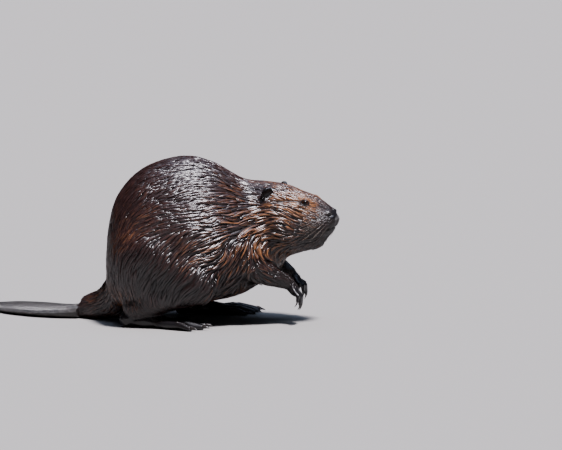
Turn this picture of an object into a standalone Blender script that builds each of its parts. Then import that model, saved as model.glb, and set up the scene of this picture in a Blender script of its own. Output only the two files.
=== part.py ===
"""North American beaver at life size, crouched on its hind feet with its back arched, its
forepaws held out in front of the chest and its tail laid on the floor behind.

Metres, +Z up. The beaver faces +X, its right side is towards -Y, and it stands on z = 0.
The body is modelled whole from shells that are fused by a voxel remesh, then parted into
named pieces by thin cuts. Hands, feet, claws, ears and eyes are modelled on their own and
seated in what carries them.
"""

import math

import bmesh
import bpy
from mathutils import Matrix, Vector

# ---------------------------------------------------------------- driving dimensions
GAP = 0.0003  # clearance between pieces that meet

# Trunk sections across the body: x, top of the back, underside, half width.
TRUNK = (
    (-0.164, 0.118, 0.084, 0.016),
    (-0.160, 0.166, 0.046, 0.054),
    (-0.148, 0.214, 0.026, 0.084),
    (-0.122, 0.251, 0.019, 0.107),
    (-0.087, 0.276, 0.018, 0.120),
    (-0.030, 0.291, 0.024, 0.127),
    (0.016, 0.283, 0.036, 0.123),
    (0.048, 0.266, 0.043, 0.112),
    (0.074, 0.251, 0.050, 0.098),
    (0.102, 0.246, 0.064, 0.082),
    (0.126, 0.238, 0.080, 0.066),
    (0.144, 0.206, 0.098, 0.048),
    (0.152, 0.172, 0.118, 0.026),
)
TRUNK_SAG = 0.22  # how much wider the trunk is low down than high up

# Head sections: distance in front of the turning point, top, underside, half width.
HEAD_TURN = Vector((0.085, 0.0, 0.0))
HEAD_YAW = math.radians(-17)
HEAD = (
    (0.000, 0.248, 0.100, 0.060),
    (0.026, 0.2475, 0.106, 0.061),
    (0.056, 0.2445, 0.112, 0.063),
    (0.080, 0.2375, 0.119, 0.061),
    (0.100, 0.2310, 0.126, 0.053),
    (0.118, 0.2250, 0.134, 0.045),
    (0.134, 0.2160, 0.143, 0.0370),
    (0.147, 0.2070, 0.155, 0.0315),
    (0.156, 0.1995, 0.167, 0.0265),
    (0.162, 0.1915, 0.178, 0.0170),
)
HEAD_SAG = 0.10
# Swellings of the head: distance in front of the turning point, to the side, height; radii.
CHIN = ((0.115, 0.0, 0.1455), (0.026, 0.021, 0.0165))
CHEEK = ((0.074, 0.036, 0.168), (0.036, 0.030, 0.034))
BROW = ((0.102, 0.0265, 0.211), (0.026, 0.0135, 0.0125))
LIP_PAD = ((0.139, 0.0155, 0.177), (0.019, 0.0175, 0.0205))
NOSE = ((0.1625, 0.0, 0.1860), (0.0125, 0.0170, 0.0125))
EYE, EYE_RADIUS = (0.1125, 0.0325, 0.2140), 0.0066
EAR = (0.0490, 0.0480, 0.2285)
EAR_HEIGHT, EAR_WIDTH, EAR_DEPTH, EAR_WALL = 0.029, 0.027, 0.0075, 0.0026
EAR_LEAN, EAR_FORWARD = 22, 46  # degrees: how far its top leans out, and it opens forwards
# The mouth's line on the side of the head: lips, then corner, as distance and height.
MOUTH = ((0.155, 0.1570), (0.103, 0.1505))
JAW_BACK, JAW_DEEP, JAW_HALF_WIDTH, JAW_SLANT = 0.074, 0.080, 0.075, 0.022

# Legs: joints and the radius of the flesh there. The far side is +Y.
RIGHT, LEFT = -1, 1
ARM_JOINTS = {
    RIGHT: ((0.056, -0.064, 0.142), (0.092, -0.073, 0.102), (0.153, -0.052, 0.0745)),
    LEFT: ((0.060, 0.060, 0.140), (0.104, 0.064, 0.107), (0.1560, 0.034, 0.0790)),
}
ARM_RADII = (0.044, 0.0235, 0.0140)
SLEEVE_MARGINS = (0.002, 0.010, 0.012)  # how far the arm's parting stands outside those radii
SLEEVE_SHIFT = Vector((0.006, 0.020, -0.004))  # of its upper end, outwards
SLEEVE_RUN_ON = 0.030  # past the wrist
LEG_JOINTS = {
    RIGHT: ((-0.078, -0.078, 0.122), (-0.008, -0.100, 0.084), (-0.108, -0.083, 0.037)),
    LEFT: ((-0.062, 0.078, 0.122), (0.050, 0.100, 0.084), (-0.017, 0.080, 0.037)),
}
LEG_RADII = (0.058, 0.042, 0.0255)
ANKLE_RADIUS, ANKLE_INSET = 0.0165, 0.016
HAUNCH_RADII, HAUNCH_SHIFT = (0.080, 0.052, 0.083), Vector((0.004, 0.0, -0.012))

HAND_TURN = {RIGHT: (-8, 50), LEFT: (-14, 40)}  # yaw, then pitch down, degrees
WRIST_RADIUS, WRIST_INSET = 0.0108, 0.014
KNUCKLES_AT, KNUCKLE_RADIUS = 0.016, 0.0095
PALM = ((0.0161, 0.0, -0.001), (0.0156, 0.0135, 0.0085))
FINGER_CURL = 1.05
FINGERS = (  # sideways angle in degrees (inner first), length, radius
    (34, 0.012, 0.0036),
    (15, 0.019, 0.0040),
    (2, 0.021, 0.0042),
    (-12, 0.020, 0.0041),
    (-30, 0.016, 0.0037),
)
FINGER_CLAW = (0.0125, 0.0021)  # length, radius at the root
CLAW_INSET = 0.0015

FOOT_TURN = {RIGHT: -8, LEFT: 9}  # degrees that the toes point outwards
HEEL = ((-0.015, 0.0, 0.0135), (0.0175, 0.0145, 0.0155))
HEEL_CORD = ((-0.010, 0.0, 0.016), 0.0160)  # down the back of the ankle
INSTEP = ((0.024, 0.0, 0.015), 0.0140)
SOLE = ((0.022, 0.0, 0.0110), (0.040, 0.0185, 0.0130))
BALL = ((0.048, 0.0, 0.0085), (0.026, 0.0255, 0.0105))
TOES = (  # sideways angle in degrees (inner first), length, radius
    (23, 0.043, 0.0062),
    (11, 0.058, 0.0068),
    (0, 0.067, 0.0072),
    (-11, 0.066, 0.0072),
    (-23, 0.052, 0.0066),
)
TOE_START, TOE_SPREAD = 0.052, 0.052
TOE_ARCH, TOE_DIP = 0.0028, 0.0008
WEB_THICKNESS, WEB_SHARE = 0.0068, 0.84
TOE_CLAW = (0.0165, 0.0034)
TOE_CLAW_RISE = 0.26

# Tail: the furred root leaves the rump, and the scaly paddle lies on the floor.
TAIL_ROOT = (
    ((-0.104, 0.000, 0.066), 0.050),
    ((-0.138, 0.006, 0.042), 0.039),
    ((-0.170, 0.018, 0.0265), 0.0265),
    ((-0.206, 0.036, 0.0190), 0.0190),
)
TAIL_ROOT_CUT = (Vector((-0.152, 0.010, 0.038)), Vector((-0.93, 0.30, -0.22)))
TAIL_START = Vector((-0.196, 0.030, 0.0))
TAIL_LENGTH = 0.240
TAIL_TURNS = (150.0, 122.0)  # heading at the paddle's root and at its tip, degrees
TAIL_SECTIONS = (  # share of the length, half width, thickness
    (0.00, 0.0210, 0.0290),
    (0.06, 0.0275, 0.0265),
    (0.15, 0.0390, 0.0215),
    (0.30, 0.0510, 0.0175),
    (0.48, 0.0580, 0.0150),
    (0.66, 0.0585, 0.0125),
    (0.82, 0.0500, 0.0100),
    (0.93, 0.0340, 0.0075),
    (1.00, 0.0120, 0.0050),
)

# Where the whole body is parted: a point and the direction square to the cut.
HEAD_CUT = (Vector((0.118, 0.0, 0.190)), Vector((0.92, -0.22, 0.32)))
NECK_CUT = (Vector((0.088, 0.0, 0.200)), Vector((0.96, -0.08, 0.30)))
TAIL_CUT_SHARE = 0.045
HAUNCH_CUTS = {  # the middle and the half sizes of an oval, in X and Z
    RIGHT: ((-0.066, 0.086), (0.092, 0.104)),
    LEFT: ((-0.030, 0.086), (0.100, 0.104)),
}
HAUNCH_DEPTH = (0.052, 0.200)

BODY_VOXEL, LIMB_VOXEL = 0.0040, 0.0015
BODY_TRIANGLES, HAND_TRIANGLES, FOOT_TRIANGLES = 2080, 250, 320
SLEEVE_TRIANGLES = 100
RING, TAIL_RING, CUTTER_SIDES = 24, 12, 18
ROUND, SMALL_ROUND = 20, 10  # sides of a ball

COLOURS = {
    "fur": ((0.070, 0.030, 0.016, 1.0), 0.45),
    "skin": ((0.030, 0.026, 0.026, 1.0), 0.40),
    "horn": ((0.018, 0.014, 0.012, 1.0), 0.35),
    "eye": ((0.010, 0.006, 0.004, 1.0), 0.08),
    "scale": ((0.045, 0.042, 0.042, 1.0), 0.50),
}


# ---------------------------------------------------------------- scene and objects
def clear_scene():
    for obj in list(bpy.data.objects):
        bpy.data.objects.remove(obj)


def new_collection(name):
    collection = bpy.data.collections.new(name)
    bpy.context.scene.collection.children.link(collection)
    return collection


def material(name):
    """A plain finish for one kind of surface, made once."""
    found = bpy.data.materials.get(name)
    if found:
        return found
    found = bpy.data.materials.new(name)
    found.use_nodes = True
    shader = found.node_tree.nodes["Principled BSDF"]
    colour, roughness = COLOURS[name]
    shader.inputs["Base Color"].default_value = colour
    shader.inputs["Roughness"].default_value = roughness
    found.diffuse_color = colour
    return found


def add_object(name, bm):
    """An object from a bmesh, which is freed. Its faces are recalculated to point out."""
    bmesh.ops.recalc_face_normals(bm, faces=bm.faces)
    mesh = bpy.data.meshes.new(name)
    bm.to_mesh(mesh)
    bm.free()
    obj = bpy.data.objects.new(name, mesh)
    bpy.context.scene.collection.objects.link(obj)
    return obj


def baked(obj, name=None):
    """The object with its modifiers applied, as a new object that takes its place."""
    bpy.context.view_layer.update()
    graph = bpy.context.evaluated_depsgraph_get()
    mesh = bpy.data.meshes.new_from_object(obj.evaluated_get(graph))
    name = name or obj.name
    bpy.data.objects.remove(obj)
    made = bpy.data.objects.new(name, mesh)
    made.name = name
    bpy.context.scene.collection.objects.link(made)
    return made


def copy_of(obj, name):
    made = bpy.data.objects.new(name, obj.data.copy())
    bpy.context.scene.collection.objects.link(made)
    return made


# ---------------------------------------------------------------- shells
def eased(stations, steps=4):
    """The stations with a smooth curve run through each of their columns."""
    rows = []
    last = len(stations) - 1
    for i in range(last):
        before = stations[max(i - 1, 0)]
        here, after = stations[i], stations[i + 1]
        beyond = stations[min(i + 2, last)]
        for k in range(steps):
            t = k / steps
            rows.append(
                tuple(
                    0.5
                    * (
                        2 * b
                        + (c - a) * t
                        + (2 * a - 5 * b + 4 * c - d) * t * t
                        + (3 * b - a - 3 * c + d) * t**3
                    )
                    for a, b, c, d in zip(before, here, after, beyond)
                )
            )
    rows.append(tuple(stations[last]))
    return rows


def squircle(angle, power):
    """A point of a superellipse of half width and half height 1."""
    c, s = math.cos(angle), math.sin(angle)
    return (
        math.copysign(abs(c) ** (2 / power), c),
        math.copysign(abs(s) ** (2 / power), s),
    )


def bridge(bm, rings):
    """Closes a row of vertex rings into one shell with a flat face at each end."""
    for first, second in zip(rings, rings[1:]):
        count = len(first)
        for k in range(count):
            after = (k + 1) % count
            bm.faces.new((first[k], first[after], second[after], second[k]))
    bm.faces.new(rings[0])
    bm.faces.new(list(reversed(rings[-1])))


def add_loft(bm, stations, place, sag, power):
    """A shell through upright sections, each (along, top, underside, half width)."""
    rings = []
    for along, top, under, half in eased(stations):
        ring = []
        for k in range(RING):
            side, up = squircle(2 * math.pi * k / RING, power)
            across = half * side * (1 - sag * up)
            height = (top + under) / 2 + (top - under) / 2 * up
            ring.append(bm.verts.new(place @ Vector((along, across, height))))
        rings.append(ring)
    bridge(bm, rings)


def add_ball(bm, centre, radii, turn=None, fineness=ROUND):
    matrix = Matrix.Translation(Vector(centre))
    matrix = matrix @ (turn or Matrix.Identity(4)) @ Matrix.Diagonal((*radii, 1.0))
    bmesh.ops.create_uvsphere(
        bm, u_segments=fineness, v_segments=fineness * 2 // 3, radius=1.0, matrix=matrix
    )


def add_limb(bm, start, end, start_radius, end_radius):
    """A tapered length with a ball at each end."""
    start, end = Vector(start), Vector(end)
    run = end - start
    turn = run.to_track_quat("Z", "Y").to_matrix().to_4x4()
    matrix = Matrix.Translation((start + end) / 2) @ turn
    bmesh.ops.create_cone(
        bm,
        cap_ends=True,
        segments=ROUND,
        radius1=start_radius,
        radius2=end_radius,
        depth=run.length,
        matrix=matrix,
    )
    add_ball(bm, start, (start_radius,) * 3)
    add_ball(bm, end, (end_radius,) * 3)


def add_claw(bm, base, forward, down, length, radius):
    """A tapering hook that bends from forward towards down."""
    rings = []
    steps, sides, total_bend, flatness = 3, 5, 0.95, 0.8
    point = Vector(base)
    for i in range(steps + 1):
        share = i / steps
        bend = total_bend * share
        heading = (forward * math.cos(bend) + down * math.sin(bend)).normalized()
        across = heading.cross(down).normalized()
        up = across.cross(heading).normalized()
        size = radius * (1 - share) ** 0.65 + radius * 0.10
        ring = []
        for k in range(sides):
            angle = 2 * math.pi * k / sides
            offset = across * (flatness * math.cos(angle)) + up * math.sin(angle)
            ring.append(bm.verts.new(point + offset * size))
        rings.append(ring)
        point = point + heading * (length / steps)
    bridge(bm, rings)


# ---------------------------------------------------------------- fusing and cutting
def fused(name, bm, voxel, smoothing, triangles):
    """One closed skin round all the shells in bm, smoothed, with about that many triangles."""
    obj = add_object(name, bm)
    remesh = obj.modifiers.new("fuse", "REMESH")
    remesh.mode = "VOXEL"
    remesh.voxel_size = voxel
    remesh.use_smooth_shade = True
    smooth = obj.modifiers.new("relax", "SMOOTH")
    smooth.factor = 0.5
    smooth.iterations = smoothing
    obj = baked(obj)
    thin = obj.modifiers.new("thin", "DECIMATE")
    thin.use_collapse_triangulate = True
    thin.ratio = triangles / (2 * len(obj.data.polygons))
    return baked(obj)


def halved(obj, point, normal, keep_front):
    """Cuts the object off at a plane, half a gap from it, and caps the cut."""
    normal = Vector(normal).normalized()
    side = 1 if keep_front else -1
    bm = bmesh.new()
    bm.from_mesh(obj.data)
    cut = bmesh.ops.bisect_plane(
        bm,
        geom=bm.verts[:] + bm.edges[:] + bm.faces[:],
        dist=1e-6,
        plane_co=Vector(point) + normal * side * GAP / 2,
        plane_no=normal,
        clear_inner=keep_front,
        clear_outer=not keep_front,
    )
    edges = [e for e in cut["geom_cut"] if isinstance(e, bmesh.types.BMEdge)]
    bmesh.ops.holes_fill(bm, edges=edges, sides=0)
    bmesh.ops.triangulate(bm, faces=[f for f in bm.faces if len(f.verts) > 4])
    bm.to_mesh(obj.data)
    bm.free()
    return obj


def combined(obj, cutter, operation, name=None):
    """The object after a Boolean with the cutter, which is kept as a guide."""
    step = obj.modifiers.new("cut", "BOOLEAN")
    step.operation = operation
    step.solver = "EXACT"
    step.object = cutter
    return baked(obj, name)


def put_away(cutter):
    """Keeps a cutter in the cutters collection, out of the model."""
    for collection in list(cutter.users_collection):
        collection.objects.unlink(cutter)
    bpy.data.collections["cutters"].objects.link(cutter)
    cutter.hide_render = True
    cutter.hide_viewport = False
    cutter.display_type = "WIRE"


def grown(obj, by, name):
    """A copy pushed out along its normals."""
    made = copy_of(obj, name)
    push = made.modifiers.new("push", "DISPLACE")
    push.mid_level = 0.0
    push.strength = by
    return baked(made)


def seated(piece, host):
    """The host with a socket in it that fits round the piece."""
    cutter = grown(piece, GAP, f"{piece.name}_socket")
    host = combined(host, cutter, "DIFFERENCE")
    put_away(cutter)
    return host


def taken_out(host, cutter, name):
    """(the host without what lies in the cutter, what lies in it), a gap apart."""
    piece = combined(copy_of(host, name), cutter, "INTERSECT", name)
    wide = grown(cutter, GAP, f"{name}_clearance")
    host = combined(host, wide, "DIFFERENCE")
    put_away(wide)
    put_away(cutter)
    return host, piece


def finish(obj, finish_name):
    """Gives a piece its finish and moves it into the beaver's collection."""
    obj.data.materials.clear()
    obj.data.materials.append(material(finish_name))
    obj.data.shade_smooth()
    obj.data.set_sharp_from_angle(angle=math.radians(50))
    for collection in list(obj.users_collection):
        collection.objects.unlink(obj)
    bpy.data.collections["beaver"].objects.link(obj)
    return obj


# ---------------------------------------------------------------- frames
def head_place():
    return Matrix.Translation(HEAD_TURN) @ Matrix.Rotation(HEAD_YAW, 4, "Z")


def on_head(along, across, height):
    """A point of the head, by distance in front of its turning point, to the side and up."""
    return head_place() @ Vector((along, across, height))


def on_side(place, side):
    """The same place of the head on one side of it."""
    return on_head(place[0], side * place[1], place[2])


def side_name(side):
    return "right" if side == RIGHT else "left"


# ---------------------------------------------------------------- the whole body
def head_shells(bm):
    place = head_place()
    add_loft(bm, HEAD, place, HEAD_SAG, 2.3)
    turn = Matrix.Rotation(HEAD_YAW, 4, "Z")
    add_ball(bm, on_head(*CHIN[0]), CHIN[1], turn)
    for side in (RIGHT, LEFT):
        for place, radii in (CHEEK, BROW, LIP_PAD):
            add_ball(bm, on_side(place, side), radii, turn)


def limb_shells(bm, side):
    shoulder, elbow, wrist = ARM_JOINTS[side]
    add_limb(bm, shoulder, elbow, ARM_RADII[0], ARM_RADII[1])
    add_limb(bm, elbow, wrist, ARM_RADII[1], ARM_RADII[2])
    hip, knee, ankle = (Vector(p) for p in LEG_JOINTS[side])
    add_ball(bm, hip + HAUNCH_SHIFT, HAUNCH_RADII)
    add_limb(bm, hip, knee, LEG_RADII[0], LEG_RADII[1])
    add_limb(bm, knee, ankle, LEG_RADII[1], LEG_RADII[2])


def whole_body():
    bm = bmesh.new()
    add_loft(bm, TRUNK, Matrix.Identity(4), TRUNK_SAG, 2.15)
    head_shells(bm)
    for side in (RIGHT, LEFT):
        limb_shells(bm, side)
    for (start, wide), (end, narrow) in zip(TAIL_ROOT, TAIL_ROOT[1:]):
        add_limb(bm, start, end, wide, narrow)
    return fused("trunk", bm, BODY_VOXEL, 9, BODY_TRIANGLES)


# ---------------------------------------------------------------- hands and feet
def hand_frame(side):
    """The hand's own axes at the wrist: +X towards the fingers, +Z out of its back."""
    wrist = Vector(ARM_JOINTS[side][2])
    yaw, pitch = (math.radians(a) for a in HAND_TURN[side])
    turn = Matrix.Rotation(yaw, 4, "Z") @ Matrix.Rotation(pitch, 4, "Y")
    return Matrix.Translation(wrist) @ turn


def make_hand(side):
    """The hand, whose wrist goes up inside the forearm, and where its claws go."""
    place = hand_frame(side)
    turn = place.to_quaternion().to_matrix().to_4x4()
    elbow, wrist = (Vector(p) for p in ARM_JOINTS[side][1:])
    forearm = (wrist - elbow).normalized()
    bm = bmesh.new()
    add_limb(bm, wrist - forearm * WRIST_INSET, wrist, WRIST_RADIUS, WRIST_RADIUS)
    add_limb(bm, wrist, place @ Vector((KNUCKLES_AT, 0, 0)), WRIST_RADIUS, KNUCKLE_RADIUS)
    add_ball(bm, place @ Vector(PALM[0]), PALM[1], turn)
    claws = []
    for number, (angle, length, radius) in enumerate(FINGERS, 1):
        angle = math.radians(angle) * -side
        out = Vector((math.cos(angle), math.sin(angle), 0.10)).normalized()
        root = Vector((KNUCKLES_AT, KNUCKLE_RADIUS * math.sin(2 * angle), 0.0))
        middle = root + out * (length * 0.62 + 0.006)
        bent = (out + Vector((0.10, 0, -FINGER_CURL))).normalized()
        tip = middle + bent * length * 0.66
        add_limb(bm, place @ root, place @ middle, radius * 1.15, radius * 1.08)
        add_limb(bm, place @ middle, place @ tip, radius * 1.08, radius * 0.82)
        claws.append((number, place @ (tip - bent * CLAW_INSET), turn, bent))
    return fused(f"hand_{side_name(side)}", bm, LIMB_VOXEL, 2, HAND_TRIANGLES), claws


def finger_claws(side, hand, claws):
    length, radius = FINGER_CLAW
    made = []
    for number, base, turn, bent in claws:
        bm = bmesh.new()
        forward = (turn @ bent).normalized()
        back = (turn @ Vector((-0.75, 0, -0.65))).normalized()
        add_claw(bm, base, forward, back, length, radius)
        claw = add_object(f"claw_hand_{side_name(side)}_{number}", bm)
        hand = seated(claw, hand)
        made.append(claw)
    return hand, made


def make_foot(side):
    """The webbed hind foot, flat on the floor, whose ankle goes up inside the shank."""
    knee, ankle = (Vector(p) for p in LEG_JOINTS[side][1:])
    shank = (ankle - knee).normalized()
    place = Matrix.Translation((ankle.x, ankle.y, 0.0))
    place = place @ Matrix.Rotation(math.radians(FOOT_TURN[side]), 4, "Z")
    turn = place.to_quaternion().to_matrix().to_4x4()
    bm = bmesh.new()
    add_limb(bm, ankle - shank * ANKLE_INSET, ankle, ANKLE_RADIUS, ANKLE_RADIUS)
    for point, radius in (HEEL_CORD, INSTEP):
        add_limb(bm, ankle, place @ Vector(point), ANKLE_RADIUS, radius)
    for point, radii in (HEEL, SOLE, BALL):
        add_ball(bm, place @ Vector(point), radii, turn)
    claws, tips = [], []
    for number, (angle, length, radius) in enumerate(TOES, 1):
        angle = math.radians(angle) * -side
        out = Vector((math.cos(angle), math.sin(angle), 0.0))
        root = Vector((TOE_START, TOE_SPREAD * angle, radius + TOE_ARCH / 2))
        middle = root + out * length * 0.55
        middle.z = radius + TOE_ARCH
        tip = root + out * length
        tip.z = radius * 0.72 - TOE_DIP
        add_limb(bm, place @ root, place @ middle, radius * 1.05, radius)
        add_limb(bm, place @ middle, place @ tip, radius, radius * 0.74)
        claws.append((number, place @ (tip + Vector((0, 0, TOE_DIP))), turn @ out))
        tips.append((root, tip))
    for (root_a, tip_a), (root_b, tip_b) in zip(tips, tips[1:]):
        start, end = (root_a + root_b) / 2, (tip_a + tip_b) / 2
        run = end - start
        heading = Matrix.Rotation(math.atan2(run.y, run.x), 4, "Z")
        middle = start + run * WEB_SHARE / 2
        middle.z = WEB_THICKNESS / 2
        half = (tip_a - tip_b).length * WEB_SHARE / 2
        radii = (run.length / 2, half, WEB_THICKNESS / 2)
        add_ball(bm, place @ middle, radii, turn @ heading)
    foot = fused(f"foot_{side_name(side)}", bm, LIMB_VOXEL, 2, FOOT_TRIANGLES)
    return halved(foot, (0, 0, -GAP / 2), (0, 0, 1), True), claws


def toe_claws(side, foot, claws):
    length, radius = TOE_CLAW
    made = []
    for number, base, out in claws:
        bm = bmesh.new()
        forward = (out + Vector((0, 0, TOE_CLAW_RISE))).normalized()
        add_claw(bm, base - out * CLAW_INSET, forward, Vector((0, 0, -1)), length, radius)
        claw = add_object(f"claw_foot_{side_name(side)}_{number}", bm)
        foot = seated(claw, foot)
        made.append(claw)
    return foot, made


# ---------------------------------------------------------------- tail
def tail_spine(share):
    """Place and heading of the paddle's middle line, which bends as an arc."""
    steps = 40
    point = TAIL_START.copy()
    heading = math.radians(TAIL_TURNS[0])
    done = 0.0
    while done < share - 1e-9:
        step = min(1 / steps, share - done)
        turn = TAIL_TURNS[0] + (TAIL_TURNS[1] - TAIL_TURNS[0]) * (done + step / 2)
        heading = math.radians(turn)
        point = point + Vector((math.cos(heading), math.sin(heading), 0)) * TAIL_LENGTH * step
        done += step
    return point, heading


def make_tail():
    """The flat scaly paddle, from just behind the furred root."""
    bm = bmesh.new()
    rings = []
    for share, half, thick in eased(TAIL_SECTIONS, 2):
        point, heading = tail_spine(min(max(share, 0.0), 1.0))
        across = Vector((-math.sin(heading), math.cos(heading), 0))
        ring = []
        for k in range(TAIL_RING):
            side, up = squircle(2 * math.pi * k / TAIL_RING, 2.2)
            height = max(0.0, thick * 0.46 + thick * 0.54 * up)
            ring.append(bm.verts.new(point + across * half * side + Vector((0, 0, height))))
        rings.append(ring)
    bridge(bm, rings)
    bmesh.ops.remove_doubles(bm, verts=bm.verts, dist=1e-6)
    tail = add_object("tail", bm)
    point, heading = tail_spine(TAIL_CUT_SHARE)
    return halved(tail, point, (math.cos(heading), math.sin(heading), 0), True)


# ---------------------------------------------------------------- ears, eyes and nose
def make_ear(side):
    """A short round cup that opens outwards and forwards."""
    place = Matrix.Translation(on_side(EAR, side))
    turn = Matrix.Rotation(HEAD_YAW, 4, "Z")
    turn = turn @ Matrix.Rotation(math.radians(EAR_LEAN * -side), 4, "X")
    turn = turn @ Matrix.Rotation(math.radians(EAR_FORWARD * -side), 4, "Z")
    shell = (EAR_WIDTH / 2, EAR_DEPTH, EAR_HEIGHT / 2)
    opening = (shell[0] - EAR_WALL, shell[1] - EAR_WALL / 3, shell[2] - EAR_WALL)
    bm = bmesh.new()
    add_ball(bm, (0, 0, 0), shell, fineness=SMALL_ROUND)
    bmesh.ops.transform(bm, matrix=place @ turn, verts=bm.verts)
    ear = add_object(f"ear_{side_name(side)}", bm)
    bm = bmesh.new()
    add_ball(bm, (0, side * EAR_DEPTH * 0.7, EAR_WALL / 2), opening, fineness=SMALL_ROUND)
    bmesh.ops.transform(bm, matrix=place @ turn, verts=bm.verts)
    cup = add_object(f"ear_{side_name(side)}_hollow", bm)
    ear = combined(ear, cup, "DIFFERENCE")
    put_away(cup)
    return ear


def make_eye(side):
    bm = bmesh.new()
    add_ball(bm, on_side(EYE, side), (EYE_RADIUS,) * 3, fineness=SMALL_ROUND)
    return add_object(f"eye_{side_name(side)}", bm)


def nose_cutter():
    bm = bmesh.new()
    turn = Matrix.Rotation(HEAD_YAW, 4, "Z")
    add_ball(bm, on_head(*NOSE[0]), NOSE[1], turn, fineness=SMALL_ROUND)
    return add_object("nose_cutter", bm)


def jaw_cutter():
    """A wedge under the mouth's line, from the lips back to the angle of the jaw."""
    (lips, lip_height), (corner, corner_height) = MOUTH
    slope = (lip_height - corner_height) / (lips - corner)
    front = 2 * lips - corner
    outline = (
        (JAW_BACK, corner_height + slope * (JAW_BACK - corner)),
        (front, corner_height + slope * (front - corner)),
        (front, JAW_DEEP),
        (JAW_BACK + JAW_SLANT, JAW_DEEP),
    )
    bm = bmesh.new()
    rings = []
    for across in (-JAW_HALF_WIDTH, JAW_HALF_WIDTH):
        rings.append([bm.verts.new(on_head(along, across, z)) for along, z in outline])
    bridge(bm, rings)
    return add_object("jaw_cutter", bm)


def haunch_cutter(side):
    """An oval plug along Y that takes in the haunch and the shank."""
    (x, z), (long, high) = HAUNCH_CUTS[side]
    near, far = HAUNCH_DEPTH
    bm = bmesh.new()
    matrix = Matrix.Translation((x, side * (near + far) / 2, z))
    matrix = matrix @ Matrix.Diagonal((long, 1, high, 1)) @ Matrix.Rotation(math.pi / 2, 4, "X")
    bmesh.ops.create_cone(
        bm,
        cap_ends=True,
        segments=CUTTER_SIDES,
        radius1=1,
        radius2=1,
        depth=far - near,
        matrix=matrix,
    )
    return add_object(f"haunch_{side_name(side)}_cutter", bm)


def arm_cutter(side):
    """A closed sleeve round the shoulder and the whole foreleg."""
    shoulder, elbow, wrist = (Vector(p) for p in ARM_JOINTS[side])
    outer = shoulder + SLEEVE_SHIFT * Vector((1, side, 1))
    beyond = wrist + (wrist - elbow).normalized() * SLEEVE_RUN_ON
    upper, middle, lower = (r + m for r, m in zip(ARM_RADII, SLEEVE_MARGINS))
    bm = bmesh.new()
    add_limb(bm, outer, elbow, upper, middle)
    add_limb(bm, elbow, beyond, middle, lower)
    return fused(f"arm_{side_name(side)}_cutter", bm, BODY_VOXEL, 3, SLEEVE_TRIANGLES)


# ---------------------------------------------------------------- assembly
def part_limbs(body, pieces):
    for side in (RIGHT, LEFT):
        name = side_name(side)
        body, arm = taken_out(body, arm_cutter(side), f"foreleg_{name}")
        body, leg = taken_out(body, haunch_cutter(side), f"hindleg_{name}")
        pieces += [(arm, "fur"), (leg, "fur")]
    return body


def part_head(body, pieces):
    """Parts head, neck, tail root and trunk by planes, then the face."""
    head = halved(copy_of(body, "head"), *HEAD_CUT, True)
    neck = halved(copy_of(body, "neck"), *HEAD_CUT, False)
    neck = halved(neck, *NECK_CUT, True)
    trunk = halved(body, *NECK_CUT, False)
    head, nose = taken_out(head, nose_cutter(), "nose")
    head, jaw = taken_out(head, jaw_cutter(), "lower_jaw")
    for side in (RIGHT, LEFT):
        ear, eye = make_ear(side), make_eye(side)
        head = seated(eye, seated(ear, head))
        pieces += [(ear, "skin"), (eye, "eye")]
    pieces += [(head, "fur"), (neck, "fur"), (nose, "skin"), (jaw, "fur")]
    return trunk


def part_tail(trunk, pieces):
    tail = make_tail()
    point, heading = tail_spine(TAIL_CUT_SHARE)
    along = Vector((math.cos(heading), math.sin(heading), 0))
    trunk = halved(trunk, point, along, False)
    root = halved(copy_of(trunk, "tail_root"), *TAIL_ROOT_CUT, True)
    trunk = halved(trunk, *TAIL_ROOT_CUT, False)
    pieces += [(tail, "scale"), (root, "fur")]
    return trunk


def stand_on_floor(objects):
    """Moves every piece alike, so that the origin is under the middle of the whole."""
    corners = [v.co for obj in objects for v in obj.data.vertices]
    low = Vector(min(c[i] for c in corners) for i in range(3))
    high = Vector(max(c[i] for c in corners) for i in range(3))
    middle = (low + high) / 2
    for obj in objects:
        obj.data.transform(Matrix.Translation((-middle.x, -middle.y, -low.z)))


def main():
    clear_scene()
    new_collection("beaver")
    new_collection("cutters")
    pieces = []
    body = whole_body()
    body = halved(body, (0, 0, 0), (0, 0, 1), True)
    for side in (RIGHT, LEFT):
        for make, add_claws in ((make_hand, finger_claws), (make_foot, toe_claws)):
            paw, claws = make(side)
            body = seated(paw, body)
            paw, made = add_claws(side, paw, claws)
            pieces += [(paw, "skin")] + [(claw, "horn") for claw in made]
    body = part_limbs(body, pieces)
    trunk = part_head(body, pieces)
    trunk = part_tail(trunk, pieces)
    pieces.append((trunk, "fur"))
    stand_on_floor([obj for obj, _ in pieces])
    for obj, finish_name in pieces:
        finish(obj, finish_name)


main()
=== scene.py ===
"""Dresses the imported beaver: one wet skin, eyes, claws, tail scales, whiskers and a coat of locks.

Metres, +Z up. The beaver faces +X and its right side is towards -Y. Places come from the boxes of
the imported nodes. Hair, scales, lids and whiskers have real sizes, in millimetres.
"""

import math

import bmesh
import bpy
import numpy as np
from bpy.props import FloatProperty, FloatVectorProperty, IntProperty, PointerProperty
from bpy.types import Operator, Panel, PropertyGroup
from mathutils import Matrix, Vector
from mathutils.bvhtree import BVHTree
from mathutils.kdtree import KDTree


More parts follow.
